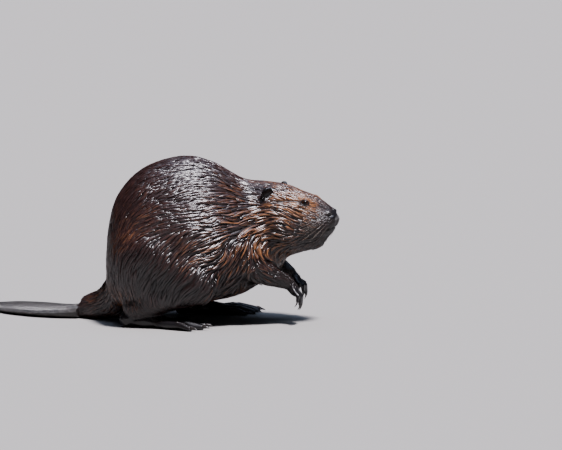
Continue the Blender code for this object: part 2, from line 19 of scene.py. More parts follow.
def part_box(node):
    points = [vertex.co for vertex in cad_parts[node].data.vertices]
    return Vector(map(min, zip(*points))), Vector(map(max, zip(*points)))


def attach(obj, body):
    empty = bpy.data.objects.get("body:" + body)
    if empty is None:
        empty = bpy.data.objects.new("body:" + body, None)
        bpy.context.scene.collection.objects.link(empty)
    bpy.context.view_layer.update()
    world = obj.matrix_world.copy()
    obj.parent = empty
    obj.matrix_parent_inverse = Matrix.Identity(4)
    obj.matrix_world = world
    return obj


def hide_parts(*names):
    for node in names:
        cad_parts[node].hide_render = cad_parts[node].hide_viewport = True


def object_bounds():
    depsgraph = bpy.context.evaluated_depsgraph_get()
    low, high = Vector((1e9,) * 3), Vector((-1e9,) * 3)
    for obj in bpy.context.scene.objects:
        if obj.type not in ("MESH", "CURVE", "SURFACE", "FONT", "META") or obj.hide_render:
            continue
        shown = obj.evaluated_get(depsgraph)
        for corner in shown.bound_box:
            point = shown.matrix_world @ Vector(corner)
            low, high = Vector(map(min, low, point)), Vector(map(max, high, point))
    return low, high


bl_info = {
    "name": "Wet beaver",
    "version": (1, 0, 0),
    "blender": (4, 5, 0),
    "location": "View3D > Sidebar > Beaver",
    "description": "Dresses a life-size beaver in skin, wet fur, claws, eyes and tail scales",
    "category": "Object",
}

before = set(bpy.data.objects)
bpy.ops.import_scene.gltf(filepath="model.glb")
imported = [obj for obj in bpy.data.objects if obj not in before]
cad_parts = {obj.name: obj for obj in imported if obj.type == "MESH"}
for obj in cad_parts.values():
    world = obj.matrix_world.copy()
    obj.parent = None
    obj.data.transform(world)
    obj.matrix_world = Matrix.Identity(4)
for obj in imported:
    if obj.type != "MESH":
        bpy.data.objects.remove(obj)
CAD_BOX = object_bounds()

SIDES = {"right": -1, "left": 1}
SEED = 11
MM = 0.001

FURRED = ["trunk", "neck", "head", "lower_jaw", "tail_root"]
FURRED += [f"{limb}_{side}" for limb in ("foreleg", "hindleg") for side in SIDES]
BARE = ["nose"] + [f"{part}_{side}" for part in ("ear", "hand", "foot") for side in SIDES]
FLESH = FURRED + BARE + ["tail"]


# ---------------------------------------------------------------- places read from the frame
def middle(node):
    low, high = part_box(node)
    return (low + high) / 2


def values_of(items, name, width=3):
    """One property of all of a mesh's items, a row for each."""
    values = np.empty(len(items) * width)
    items.foreach_get(name, values)
    return values.reshape(-1, width)


def coordinates(mesh):
    return values_of(mesh.vertices, "co")


def node_points(node):
    return coordinates(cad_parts[node].data)


UP = Vector((0, 0, 1))
TRUNK_LOW, TRUNK_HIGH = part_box("trunk")
MID_Y = (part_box("hindleg_right")[1].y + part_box("hindleg_left")[0].y) / 2
HALF_WIDTH = (TRUNK_HIGH.y - TRUNK_LOW.y) / 2
EYES = {side: middle(f"eye_{side}") for side in SIDES}
EYE_RADIUS = (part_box("eye_right")[1].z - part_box("eye_right")[0].z) / 2
HEAD_LEFT = (EYES["left"] - EYES["right"]).normalized()
HEAD_FRONT = HEAD_LEFT.cross(UP).normalized()
HEAD_MIDDLE = (EYES["left"] + EYES["right"]) / 2
# How far the nose's tip lies ahead of the point between the eyes.
MUZZLE = float(max((node_points("nose") - np.array(HEAD_MIDDLE)) @ np.array(HEAD_FRONT)))
TAIL_STEP = middle("tail") - middle("tail_root")


def frame_of(where, side):
    """Origin, axes (forward, outward, up) and unit sizes that the lie's places are given in."""
    out = SIDES[side]
    if where == "body":
        sizes = (TRUNK_HIGH.x - TRUNK_LOW.x, HALF_WIDTH, TRUNK_HIGH.z)
        return Vector((TRUNK_LOW.x, MID_Y, 0)), (Vector((1, 0, 0)), Vector((0, out, 0)), UP), sizes
    if where == "head":
        return HEAD_MIDDLE, (HEAD_FRONT, HEAD_LEFT * out, UP), (MUZZLE,) * 3
    if where == "tail":
        along = Vector((TAIL_STEP.x, TAIL_STEP.y, 0)).normalized()
        return middle("tail_root"), (along, UP.cross(along) * out, UP), (TAIL_STEP.length,) * 3
    low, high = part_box(f"{where}_{side}")
    inner = low.y if out > 0 else high.y
    return Vector((low.x, inner, low.z)), (Vector((1, 0, 0)), Vector((0, out, 0)), UP), high - low


# The lie of the coat, in one table for each frame. Each row: the place (forward, outward, up) in
# that frame's units, the way that the hair runs (forward, outward, up), its length in mm, how ragged
# it lies (0 to 1), and how warm its colour is (0.5 chestnut, 1 orange, 0 and below nearly black).
BODY_LIE = (
    # top of the back, from the nape to the rump
    ((0.98, 0, 0.84), (-1, 0, 0.05), 24, 0.45, 0.34),
    ((0.82, 0, 0.88), (-1, 0, 0.3), 26, 0.35, 0.3),
    ((0.66, 0, 0.94), (-1, 0, 0.15), 26, 0.25, 0.28),
    ((0.45, 0, 1), (-1, 0, -0.1), 24, 0.2, 0.26),
    ((0.25, 0, 0.94), (-1, 0, -0.6), 24, 0.25, 0.26),
    ((0.1, 0, 0.76), (-0.5, 0, -1), 24, 0.3, 0.26),
    ((0.03, 0, 0.5), (-0.1, 0, -1), 24, 0.3, 0.3),
    ((0, 0, 0.28), (-0.1, 0, -1), 22, 0.3, 0.4),
    # shoulder of the back
    ((0.8, 0.5, 0.8), (-1, 0, -0.05), 26, 0.55, 0.34),
    ((0.62, 0.6, 0.84), (-1, 0, -0.15), 25, 0.3, 0.3),
    ((0.42, 0.62, 0.87), (-0.9, 0, -0.5), 24, 0.3, 0.28),
    ((0.24, 0.55, 0.82), (-0.7, 0, -0.9), 24, 0.35, 0.28),
    ((0.11, 0.48, 0.68), (-0.35, 0, -1), 22, 0.4, 0.3),
    # middle of the flank
    ((0.74, 0.82, 0.66), (-1, 0, -0.18), 28, 0.65, 0.36),
    ((0.57, 0.94, 0.66), (-1, 0, -0.12), 26, 0.3, 0.32),
    ((0.4, 0.96, 0.66), (-1, 0, -0.16), 26, 0.2, 0.34),
    ((0.24, 0.88, 0.64), (-1, 0, -0.38), 26, 0.25, 0.44),
    ((0.12, 0.68, 0.56), (-0.5, 0, -1), 24, 0.35, 0.4),
    # low on the flank; the warmth falls towards the haunch, partly painted shade
    ((0.7, 0.9, 0.54), (-1, 0, -0.15), 30, 0.85, 0.36),
    ((0.57, 0.98, 0.5), (-0.95, 0, -0.45), 30, 0.75, 0.28),
    ((0.46, 1, 0.47), (-0.7, 0, -0.8), 30, 0.6, 0.22),
    ((0.32, 1, 0.45), (-0.6, 0, -0.9), 28, 0.45, 0.16),
    ((0.18, 0.92, 0.42), (-0.5, 0, -1), 26, 0.35, 0.16),
    ((0.07, 0.68, 0.36), (-0.2, 0, -1), 24, 0.3, 0.3),
    # thigh: the warmth near 0 here is partly painted shade, the haunch kept nearly black as if shaded
    ((0.07, 0.62, 0.2), (-0.1, 0, -1), 22, 0.35, 0.5),
    ((0.13, 0.88, 0.22), (-0.1, 0, -1), 20, 0.4, 0.36),
    ((0.26, 1.02, 0.26), (-0.45, 0, -1), 24, 0.55, 0.02),
    ((0.4, 1.04, 0.3), (-0.55, 0, -1), 26, 0.6, 0.02),
    ((0.52, 0.96, 0.27), (-0.65, 0, -0.8), 26, 0.6, 0.1),
    # belly and chest: the low warmth under the belly is partly painted shade
    ((0.66, 0.72, 0.3), (-0.8, 0, -0.65), 30, 1, 0.08),
    ((0.8, 0.55, 0.33), (-0.7, 0, -0.7), 26, 1, 0.16),
    ((0.3, 0, 0.06), (-1, 0, -0.1), 22, 0.5, 0.2),
    ((0.55, 0, 0.1), (-1, 0, -0.2), 24, 0.6, 0.2),
    ((0.8, 0, 0.22), (-0.9, 0, -0.5), 26, 0.9, 0.24),
    ((0.96, 0, 0.36), (-0.6, 0, -0.9), 24, 0.7, 0.34),
    ((1.02, 0, 0.55), (-0.6, 0, -0.8), 22, 0.7, 0.44),
    # side of the neck, and the locks over the shoulder
    ((0.95, 0.5, 0.78), (-1, 0, -0.05), 26, 0.85, 0.46),
    ((0.95, 0.58, 0.68), (-1, 0, -0.3), 28, 0.85, 0.56),
    ((0.97, 0.56, 0.56), (-0.75, 0, -0.7), 30, 0.95, 0.6),
    ((0.88, 0.66, 0.66), (-0.95, 0, -0.35), 30, 0.85, 0.46),
    ((0.88, 0.68, 0.54), (-0.65, 0, -0.8), 30, 0.95, 0.5),
    ((0.8, 0.76, 0.56), (-0.8, 0, -0.55), 30, 0.9, 0.38),
    ((0.78, 0.8, 0.46), (-0.65, 0, -0.75), 28, 0.9, 0.36),
    ((0.7, 0.86, 0.42), (-0.9, 0, -0.4), 28, 0.85, 0.3),
)
HEAD_LIE = (
    # top of the head, from the nose back
    ((0.85, 0, -0.2), (-1, 0, 0.3), 4, 0.2, 0.25),
    ((0.45, 0, -0.02), (-1, 0, 0.25), 7, 0.6, 0.4),
    ((0.05, 0, 0.16), (-1, 0, 0.15), 10, 0.7, 0.4),
    ((0.05, 0.35, 0.14), (-1, 0.1, 0.1), 10, 0.8, 0.5),
    ((-0.35, 0.55, 0.18), (-1, 0.05, 0.04), 15, 0.95, 0.66),
    ((-0.6, 0, 0.36), (-1, 0, 0.05), 15, 0.7, 0.34),
    ((-0.7, 0.5, 0.3), (-1, 0, 0.04), 17, 0.9, 0.48),
    ((-1.2, 0.3, 0.42), (-1, 0, 0), 20, 0.75, 0.36),
    # from the eye to the ear
    ((0.2, 0.46, -0.14), (-1, 0.2, 0.05), 4, 0.4, 1),
    ((-0.02, 0.55, 0.1), (-1, 0.2, 0.05), 5, 0.5, 0.95),
    ((-0.2, 0.62, 0), (-1, 0.1, 0.05), 11, 0.9, 0.86),
    ((-0.5, 0.76, -0.06), (-1, 0, 0.06), 16, 0.9, 0.7),
    ((-0.85, 0.86, -0.12), (-1, 0, 0.08), 22, 0.9, 0.58),
    ((-1.35, 0.86, 0), (-1, 0, 0.02), 26, 0.9, 0.56),
    # side of the muzzle
    ((0.78, 0.26, -0.42), (-1, 0.3, 0.05), 4, 0.5, 0.06),
    ((0.88, 0.12, -0.7), (-0.5, 0.5, -0.8), 3, 0.2, -0.2),
    ((0.52, 0.42, -0.4), (-1, 0.3, 0.05), 6, 0.8, 0.26),
    ((0.66, 0.38, -0.7), (-0.9, 0.3, -0.3), 6, 0.7, 0.04),
    ((0.35, 0.5, -0.7), (-1, 0.2, 0.1), 9, 0.7, 0.34),
    ((0.18, 0.54, -0.38), (-1, 0.2, 0.12), 9, 0.8, 0.85),
    # cheek
    ((-0.2, 0.78, -0.42), (-1, 0.05, 0.2), 20, 0.95, 0.56),
    ((-0.6, 0.95, -0.45), (-1, 0, 0.28), 25, 0.95, 0.54),
    ((-0.55, 0.94, -0.8), (-0.9, 0, 0.55), 23, 0.95, 0.42),
    ((-1.1, 1, -0.45), (-1, 0, 0.08), 28, 0.95, 0.5),
    ((-1.1, 1, -0.8), (-1, 0, -0.25), 28, 0.95, 0.52),
    ((-0.05, 0.74, -0.92), (-1, 0.1, 0.25), 14, 0.8, 0.3),
    ((-0.6, 0.9, -1.15), (-1, 0, 0.05), 19, 0.9, 0.44),
    ((-1.15, 0.9, -1.2), (-0.8, 0, -0.65), 27, 1, 0.58),
    # jaw, chin and throat
    ((0.62, 0.1, -1.05), (-1, 0.1, -0.5), 8, 1, 0.05),
    ((0.45, 0.28, -1.14), (-1, 0.1, -0.4), 10, 1, 0.1),
    ((0.1, 0.55, -1.16), (-1, 0.1, 0), 13, 0.95, 0.2),
    ((-0.25, 0.62, -1.28), (-1, 0, -0.15), 13, 0.8, 0.28),
    ((-0.8, 0.7, -1.5), (-0.9, 0, -0.5), 20, 0.9, 0.5),
    ((0.1, 0, -1.36), (-1, 0, -0.15), 11, 1, 0.12),
    ((-0.6, 0, -1.55), (-1, 0, -0.35), 16, 0.8, 0.3),
)
EAR_LIE = (
    # ears: short and dark
    ((0.5, 0.5, 0.9), (-1, 0, 0.6), 2, 0.1, -0.2),
    ((0.5, 0.5, 0.3), (-1, 0, 0.4), 2.5, 0.1, -0.2),
)
FORELEG_LIE = (
    # arms: upper arm, elbow, forearm, hand
    ((0.25, 0.75, 0.62), (-0.6, 0, -0.8), 26, 0.9, 0.34),
    ((0.45, 0.8, 0.45), (-0.2, 0, -1), 20, 0.95, 0.24),
    ((0.5, 0.5, 0.1), (0.3, 0, -0.9), 18, 1, 0.14),
    ((0.62, 0.62, 0.4), (0.7, -0.1, -0.7), 15, 0.85, 0.2),
    ((0.62, 0.3, 0.3), (0.8, -0.2, -0.5), 13, 0.8, 0.12),
    ((0.8, 0.35, 0.22), (0.9, -0.2, -0.45), 10, 0.7, 0.08),
    ((0.95, 0.22, 0.12), (0.9, -0.1, -0.5), 6, 0.3, 0.1),
)
HAND_LIE = (
    ((0.3, 0.5, 0.75), (0.8, 0, -0.7), 3, 0.2, 0.05),
    ((0.8, 0.5, 0.4), (0.3, 0, -1), 2, 0.1, 0.02),
)
FOOT_LIE = (
    # shank, heel and foot
    ((0.32, 0.5, 1), (0.1, 0, -1), 12, 0.45, 0.36),
    ((0.16, 0.5, 0.8), (-0.1, 0, -1), 10, 0.5, 0.36),
    ((0.06, 0.5, 0.3), (0.2, 0, -1), 5, 0.3, 0.16),
    ((0.36, 0.5, 0.45), (1, 0, -0.4), 5, 0.3, 0.14),
    ((0.6, 0.5, 0.2), (1, 0, -0.1), 2.5, 0.1, 0.04),
    ((0.9, 0.5, 0.1), (1, 0, -0.1), 2, 0.1, 0.02),
)
TAIL_LIE = (
    # root of the tail, and the bare paddle
    ((-0.35, 0, 0.1), (1, 0, -0.5), 16, 0.4, 0.44),
    ((-0.1, 0.18, 0), (1, 0, -0.2), 14, 0.4, 0.4),
    ((0.2, 0.1, -0.1), (1, 0, -0.1), 9, 0.3, 0.3),
    ((0.45, 0, -0.2), (1, 0, -0.05), 3, 0.1, 0.1),
    ((1, 0, -0.25), (1, 0, 0), 3, 0.1, 0.05),
)
LIE = {"body": BODY_LIE, "head": HEAD_LIE, "ear": EAR_LIE, "foreleg": FORELEG_LIE,
       "hand": HAND_LIE, "foot": FOOT_LIE, "tail": TAIL_LIE}
DEPTH_OF_LENGTH = 0.14  # a coat of this length of hair lies this share of it deep


def lie_rows():
    """Places, ways and traits (length, raggedness, warmth) of every row, for both sides."""
    places, ways, traits = [], [], []
    rows = [(where, *row) for where, table in LIE.items() for row in table]
    for where, place, way, *trait in rows:
        for side in SIDES:
            origin, axes, sizes = frame_of(where, side)
            places.append(origin + sum((a * p * s for a, p, s in zip(axes, place, sizes)), Vector()))
            ways.append(sum((a * w for a, w in zip(axes, way)), Vector()).normalized())
            traits.append((trait[0] * MM, trait[1], trait[2]))
    return np.array(places), np.array(ways), np.array(traits)


LIE_PLACES, LIE_WAYS, LIE_TRAITS = lie_rows()
LIE_REACH, LIE_POWER = 0.014, 2.6


def lie_at(points):
    """The blended way and traits of the coat at each point."""
    ways, traits = np.empty((len(points), 3)), np.empty((len(points), 3))
    for start in range(0, len(points), 20000):
        part = slice(start, start + 20000)
        away = ((points[part, None] - LIE_PLACES[None]) ** 2).sum(2) + LIE_REACH ** 2
        weight = away ** -LIE_POWER
        weight /= weight.sum(1, keepdims=True)
        ways[part], traits[part] = weight @ LIE_WAYS, weight @ LIE_TRAITS
    return ways, traits


# ---------------------------------------------------------------- settings
def srgb(code):
    """A hex colour as linear red, green, blue and alpha."""
    values = [int(code[i:i + 2], 16) / 255 for i in (1, 3, 5)]
    return tuple(v / 12.92 if v <= 0.04045 else ((v + 0.055) / 1.055) ** 2.4 for v in values) + (1.0,)


def length(label, text, default):
    return FloatProperty(name=label, description=text, default=default, unit="LENGTH",
                         precision=4, min=0)


def share(label, text, default):
    return FloatProperty(name=label, description=text, default=default, subtype="FACTOR",
                         min=0, max=1)


def colour(label, text, code):
    return FloatVectorProperty(name=label, description=text, default=srgb(code), subtype="COLOR",
                               size=4, min=0, max=1)


class BeaverSizes(PropertyGroup):
    skin_voxel: length("Skin grain", "Edge of the voxels that fuse the skin", 1.3 * MM)
    skin_share: share("Skin faces kept", "Share of the fused skin's faces that is kept", 0.17)
    long_tufts: IntProperty(name="Body tufts", description="Tufts on body and limbs",
                            default=50000, min=100)
    fine_tufts: IntProperty(name="Fine tufts", description="Tufts on head and paws",
                            default=24000, min=100)
    tuft_width: length("Tuft width", "Width of a body tuft at its widest", 1.35 * MM)
    face_width: length("Face tuft width", "Width of the shortest tufts", 0.42 * MM)
    scale_length: length("Scale length", "Length of one scale of the tail", 4.6 * MM)
    scale_width: length("Scale width", "Width of one scale of the tail", 3.4 * MM)
    whisker_width: length("Whisker width", "Width of a whisker at its widest", 0.5 * MM)
    whisker_length: length("Whisker length", "Length of the longest whisker", 44 * MM)


class BeaverColours(PropertyGroup):
    fur_dark: colour("Dark fur", "Wet guard hair in the shade of the coat", "#0e0808")
    fur_chestnut: colour("Chestnut fur", "Wet guard hair on back and flank", "#2d1a18")
    fur_orange: colour("Orange fur", "Hair of cheek, eye ring and shoulder locks", "#8a5a34")
    # Under-fur tone; the tufts also darken to it at their roots, partly as painted shade between the
    # locks.
    under_fur: colour("Under-fur", "Felted under-fur between the locks", "#0f0908")
    bare_skin: colour("Bare skin", "Nose, ears, hands and feet", "#080708")
    tail_skin: colour("Tail leather", "Scaly paddle of the tail", "#2f2c2a")
    whisker: colour("Whisker", "Pale stiff hair of the whiskers", "#8f8478")
    horn: colour("Claw horn", "Dark horn of the claws", "#1b1512")
    iris: colour("Iris", "Dark brown iris", "#2a1408")
    floor: colour("Floor", "Matt studio floor, pale when lit", "#7b7976")


# ---------------------------------------------------------------- small tools
def add_node(tree, kind, inputs=None, **settings):
    """Adds a node with its settings; an input is set to a value, or linked to a socket."""
    node = tree.nodes.new(kind)
    for name, value in settings.items():
        setattr(node, name, value)
    for name, value in (inputs or {}).items():
        if isinstance(value, bpy.types.NodeSocket):
            tree.links.new(value, node.inputs[name])
        else:
            node.inputs[name].default_value = value
    return node


def new_material(name, **values):
    """A material with a Principled shader whose plain values are set; returns it, tree, shader."""
    material = bpy.data.materials.new(name)
    material.use_nodes = True
    tree = material.node_tree
    shader = tree.nodes["Principled BSDF"]
    for key, value in values.items():
        shader.inputs[key.replace("_", " ")].default_value = value
    return material, tree, shader


def grain_over(tree, shader, size, detail, tones=None, strength=0, height=0):
    """Grains about size across mix a surface's two tones, and stand in relief up to height."""
    place = add_node(tree, "ShaderNodeTexCoord")
    grain = add_node(tree, "ShaderNodeTexNoise", {"Vector": place.outputs["Object"],
                                                  "Scale": 1 / size, "Detail": detail})
    if tones:
        tone = add_node(tree, "ShaderNodeMix", {0: grain.outputs["Fac"], 6: tones[0], 7: tones[1]},
                        data_type="RGBA")
        tree.links.new(tone.outputs[2], shader.inputs["Base Color"])
    if strength:
        relief = add_node(tree, "ShaderNodeBump", {"Height": grain.outputs["Fac"],
                                                   "Strength": strength, "Distance": height})
        tree.links.new(relief.outputs[0], shader.inputs["Normal"])


def object_from(name, mesh, materials, nodes=()):
    """Puts a finished mesh in the scene as a piece that rides on the body."""
    piece = bpy.data.objects.new(name, mesh)
    bpy.context.scene.collection.objects.link(piece)
    for material in materials:
        mesh.materials.append(material)
    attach(piece, "root")
    if nodes:
        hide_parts(*nodes)
    return piece


def normals_of(mesh):
    return values_of(mesh.vertex_normals, "vector")


def corners_of(mesh):
    """The three points of every triangle."""
    return values_of(mesh.loops, "vertex_index", 1).astype(int).reshape(-1, 3)


def mesh_from(work, name):
    """A new mesh from a bmesh, which is freed."""
    mesh = bpy.data.meshes.new(name)
    work.to_mesh(mesh)
    work.free()
    return mesh


def with_modifiers(mesh, *modifiers, groups=None):
    """The mesh after these modifiers, each a type and its settings."""
    holder = bpy.data.objects.new("holder", mesh)
    bpy.context.scene.collection.objects.link(holder)
    for name, weights in (groups or {}).items():
        group = holder.vertex_groups.new(name=name)
        for value in np.unique(weights):
            group.add(np.nonzero(weights == value)[0].tolist(), float(value), "REPLACE")
    for kind, settings in modifiers:
        modifier = holder.modifiers.new(kind.title(), kind)
        for key, value in settings.items():
            setattr(modifier, key, value)
    depsgraph = bpy.context.evaluated_depsgraph_get()
    result = bpy.data.meshes.new_from_object(holder.evaluated_get(depsgraph))
    bpy.data.objects.remove(holder)
    return result


def nearest_nodes(points, nodes):
    """For each point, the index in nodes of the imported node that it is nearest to."""
    corners, faces, owner = [], [], []
    for index, node in enumerate(nodes):
        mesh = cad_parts[node].data
        start = len(corners)
        corners += [v.co for v in mesh.vertices]
        faces += [[start + i for i in face.vertices] for face in mesh.polygons]
        owner += [index] * len(mesh.polygons)
    tree = BVHTree.FromPolygons(corners, faces)
    return np.array([owner[tree.find_nearest(p)[2]] for p in points.tolist()])


def named(owner, *starts):
    """True where the owner's node name starts with one of these words."""
    return np.isin(owner, [i for i, node in enumerate(FLESH) if node.startswith(starts)])


def skin_tree(node=None):
    """The skin's mesh, each face's owner, and a tree of all its faces, or of one node's."""
    skin = bpy.data.objects["skin"].data
    owner = values_of(skin.attributes["owner"].data, "value", 1)[:, 0].astype(int)
    faces = [face.vertices[:] for face, of in zip(skin.polygons, owner) if node in (None, FLESH[of])]
    return skin, owner, BVHTree.FromPolygons(coordinates(skin).tolist(), faces)


def smoothstep(low, high, value):
    t = np.clip((value - low) / (high - low), 0, 1)
    return t * t * (3 - 2 * t)


def write_attribute(mesh, name, kind, values, domain="POINT"):
    layer = mesh.attributes.new(name, kind, domain)
    key = "vector" if kind == "FLOAT_VECTOR" else "value"
    number = np.int32 if kind == "INT" else np.float32
    layer.data.foreach_set(key, np.asarray(values, number).ravel())


# ---------------------------------------------------------------- skin
def in_head(points):
    """Points as (forward, left, up) from between the eyes."""
    axes = np.array([HEAD_FRONT, HEAD_LEFT, UP])
    return (points - np.array(HEAD_MIDDLE)) @ axes.T


def eye_axes(side):
    """Where an eye looks, the way its slit runs forwards, and across the slit."""
    out = SIDES[side]
    gaze = (HEAD_FRONT * 0.30 + HEAD_LEFT * out + UP * 0.22).normalized()
    slit = HEAD_FRONT - UP * 0.16
    slit = (slit - gaze * slit.dot(gaze)).normalized()
    rise = gaze.cross(slit) * -out
    return gaze, slit, (rise if rise.z > 0 else -rise)


LID, SLIT_LONG, SLIT_HIGH = 1.3 * MM, 5.9 * MM, 4.4 * MM  # lid thickness; half sizes of the slit
LID_RIM = 1.30  # how far out the lids are bare, in slits
LID_EDGE = 0.10  # half width, in slits, of the rim that is rolled over the ball
BEHIND_SLIT, RIM_GAP = 1.2 * MM, 0.35 * MM  # the skin in the slit hides in the ball; the rim clears it
EYE_REGION = EYE_RADIUS + 4 * MM  # how far round an eye's middle the skin is finer and shaped
LEAST_DEPTH = 0.4 * MM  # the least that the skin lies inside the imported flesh
HIDE, LEATHER = 1, 2  # places of these materials in the skin's list, after the felt


def fused_flesh(voxel):
    """The flesh nodes and the eyelids' balls, grown to overlap and fused into one shell."""
    grow = 0.5 * voxel
    shell = bmesh.new()
    for node in FLESH:
        shell.from_mesh(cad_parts[node].data)
    bmesh.ops.remove_doubles(shell, verts=shell.verts, dist=0.01 * MM)
    for vertex in shell.verts:
        vertex.co += vertex.normal * grow
    for place in EYES.values():
        bmesh.ops.create_icosphere(shell, subdivisions=3, radius=EYE_RADIUS + LID,
                                   matrix=Matrix.Translation(place))
    settings = {"mode": "VOXEL", "voxel_size": voxel}
    return with_modifiers(mesh_from(shell, "flesh"), ("REMESH", settings))


def near_eyes(points, reach):
    """1 at an eye's rim, falling to 0 at that reach beyond it."""
    nearest = np.min([np.linalg.norm(points - np.array(p), axis=1) for p in EYES.values()], axis=0)
    return 1 - smoothstep(EYE_RADIUS + LID, EYE_RADIUS + LID + reach, nearest)


def lid_share(points, side):
    """How far out a point lies over the eye, in almond half sizes, and whether it is in front."""
    gaze, slit, rise = (np.array(axis) for axis in eye_axes(side))
    offset = points - np.array(EYES[side])
    almond = np.sqrt((offset @ slit / SLIT_LONG) ** 2 + (offset @ rise / SLIT_HIGH) ** 2)
    return almond, (offset @ gaze > 0) & (np.linalg.norm(offset, axis=1) < EYE_REGION)


def over_slits(points, reach):
    """True in front of either eye, within reach, in slits, of the slit's middle."""
    shares = [lid_share(points, side) for side in SIDES]
    return np.any([near & (almond < reach) for almond, near in shares], axis=0)


def open_lids(points):
    """Opens an almond slit over each eyeball, its rim rolled over the ball."""
    for side, place in EYES.items():
        gaze, slit, rise = (np.array(axis) for axis in eye_axes(side))
        offset = points - np.array(place)
        along, across = offset @ slit, offset @ rise
        almond, near = lid_share(points, side)
        rim = near & (np.abs(almond - 1) < LID_EDGE)
        inner = near & (almond <= 1 - LID_EDGE)
        fit = np.where(rim, 1 / np.maximum(almond, 0.1), 1.0)
        across, along = across * fit, along * fit
        side_reach = np.hypot(along, across)
        target = np.where(inner, EYE_RADIUS - BEHIND_SLIT, EYE_RADIUS + RIM_GAP)
        lifted = np.sqrt(np.maximum(target ** 2 - side_reach ** 2, (0.5 * MM) ** 2))
        placed = np.outer(along, slit) + np.outer(across, rise) + np.outer(lifted, gaze)
        points = np.where((rim | inner)[:, None], np.array(place) + placed, points)
    return points


def press(points, normals, centre, axes, radii, depth):
    """Pushes the skin in along its normals by depth at the centre of an oval dent."""
    offset = (points - np.array(centre)) @ np.array([list(a) for a in axes]).T / np.array(radii)
    fade = np.exp(-(offset ** 2).sum(1) * 1.6)
    return points - normals * (fade * depth)[:, None]


def head_point(forward, out, up):
    return HEAD_MIDDLE + (HEAD_FRONT * forward + HEAD_LEFT * out + UP * up) * MUZZLE


def nose_share(points):
    """How far out a point lies from the middle of the bare nose pad, in its half sizes."""
    offset = in_head(points) / MUZZLE - np.array((0.85, 0.0, -0.46))
    return np.linalg.norm(offset / np.array((0.23, 0.46, 0.20)), axis=1)


def sculpt_face(points, normals):
    """Nostril wings and holes, the groove under the nose and the line of the mouth."""
    axes = (HEAD_FRONT, HEAD_LEFT, UP)
    for out in SIDES.values():
        wing = head_point(0.80, 0.34 * out, -0.36)
        points = press(points, normals, wing, axes, (6 * MM, 9 * MM, 5 * MM), -2.6 * MM)
        hole = head_point(0.81, 0.33 * out, -0.43)
        points = press(points, normals, hole, axes, (5.0 * MM, 9 * MM, 3.3 * MM), 8.5 * MM)
    local = in_head(points) / MUZZLE
    forward, aside, up = local.T
    groove = np.exp(-(aside / 0.025) ** 2) * smoothstep(0.72, 0.84, forward)
    groove *= smoothstep(-0.92, -0.84, up) * (1 - smoothstep(-0.52, -0.42, up))
    mouth_up = -0.905 - 0.13 * smoothstep(0.0, 0.72, 0.72 - forward)
    line = np.exp(-((up - mouth_up) / 0.03) ** 2) * smoothstep(-0.12, 0.02, forward)
    line *= 1 + 0.9 * smoothstep(0.40, 0.70, forward)
    return points - normals * (groove * 1.6 * MM + line * 2.2 * MM)[:, None]


def finer_near(mesh, centres, reach, times):
    """Splits the faces within reach of the centres, so that they can take fine folds."""
    work = bmesh.new()
    work.from_mesh(mesh)
    for _ in range(times):
        edges = [e for e in work.edges
                 if min(((e.verts[0].co + e.verts[1].co) / 2 - c).length for c in centres) < reach]
        bmesh.ops.subdivide_edges(work, edges=edges, cuts=1, use_grid_fill=True)
        inside = list({vertex for edge in edges if edge.is_valid for vertex in edge.verts})
        for _ in range(3):
            bmesh.ops.smooth_vert(work, verts=inside, factor=0.5,
                                  use_axis_x=True, use_axis_y=True, use_axis_z=True)
    bmesh.ops.triangulate(work, faces=[f for f in work.faces if len(f.verts) > 3])
    work.to_mesh(mesh)
    work.free()


def skin_mesh(sizes):
    """The whole skin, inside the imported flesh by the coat's depth."""
    mesh = fused_flesh(sizes.skin_voxel)
    points = coordinates(mesh)
    owner = nearest_nodes(points, FLESH)
    furred = np.isin(owner, [FLESH.index(n) for n in FURRED]) & (near_eyes(points, 6 * MM) < 0.01)
    broad = furred & named(owner, "trunk", "neck", "hindleg", "tail_root")
    broad = np.round(broad * smoothstep(0.17, 0.34, points[:, 2] / TRUNK_HIGH.z), 1)
    mesh = with_modifiers(
        mesh,
        ("SMOOTH", {"factor": 0.5, "iterations": 3}),
        ("SMOOTH", {"factor": 0.5, "iterations": 40, "vertex_group": "furred"}),
        ("SMOOTH", {"factor": 0.5, "iterations": 300, "vertex_group": "broad"}),
        groups={"furred": furred.astype(float), "broad": broad},
    )
    points, normals = coordinates(mesh), normals_of(mesh)
    _, traits = lie_at(points)
    depth = traits[:, 0] * DEPTH_OF_LENGTH * (1 - near_eyes(points, 5 * MM)) + LEAST_DEPTH
    mesh.vertices.foreach_set("co", (points - normals * depth[:, None]).ravel())
    mesh = with_modifiers(
        mesh,
        ("SMOOTH", {"factor": 0.5, "iterations": 2}),
        ("DECIMATE", {"ratio": sizes.skin_share}),
    )
    finer_near(mesh, list(EYES.values()), EYE_REGION, 3)
    finer_near(mesh, [head_point(0.84, 0, -0.45)], 24 * MM, 2)
    mesh.vertices.foreach_set("co", open_lids(coordinates(mesh)).ravel())
    mesh.update()
    shaped = sculpt_face(coordinates(mesh), normals_of(mesh))
    shaped[:, 2] = np.maximum(shaped[:, 2], 0)
    mesh.vertices.foreach_set("co", shaped.ravel())
    mesh.update()
    return mesh


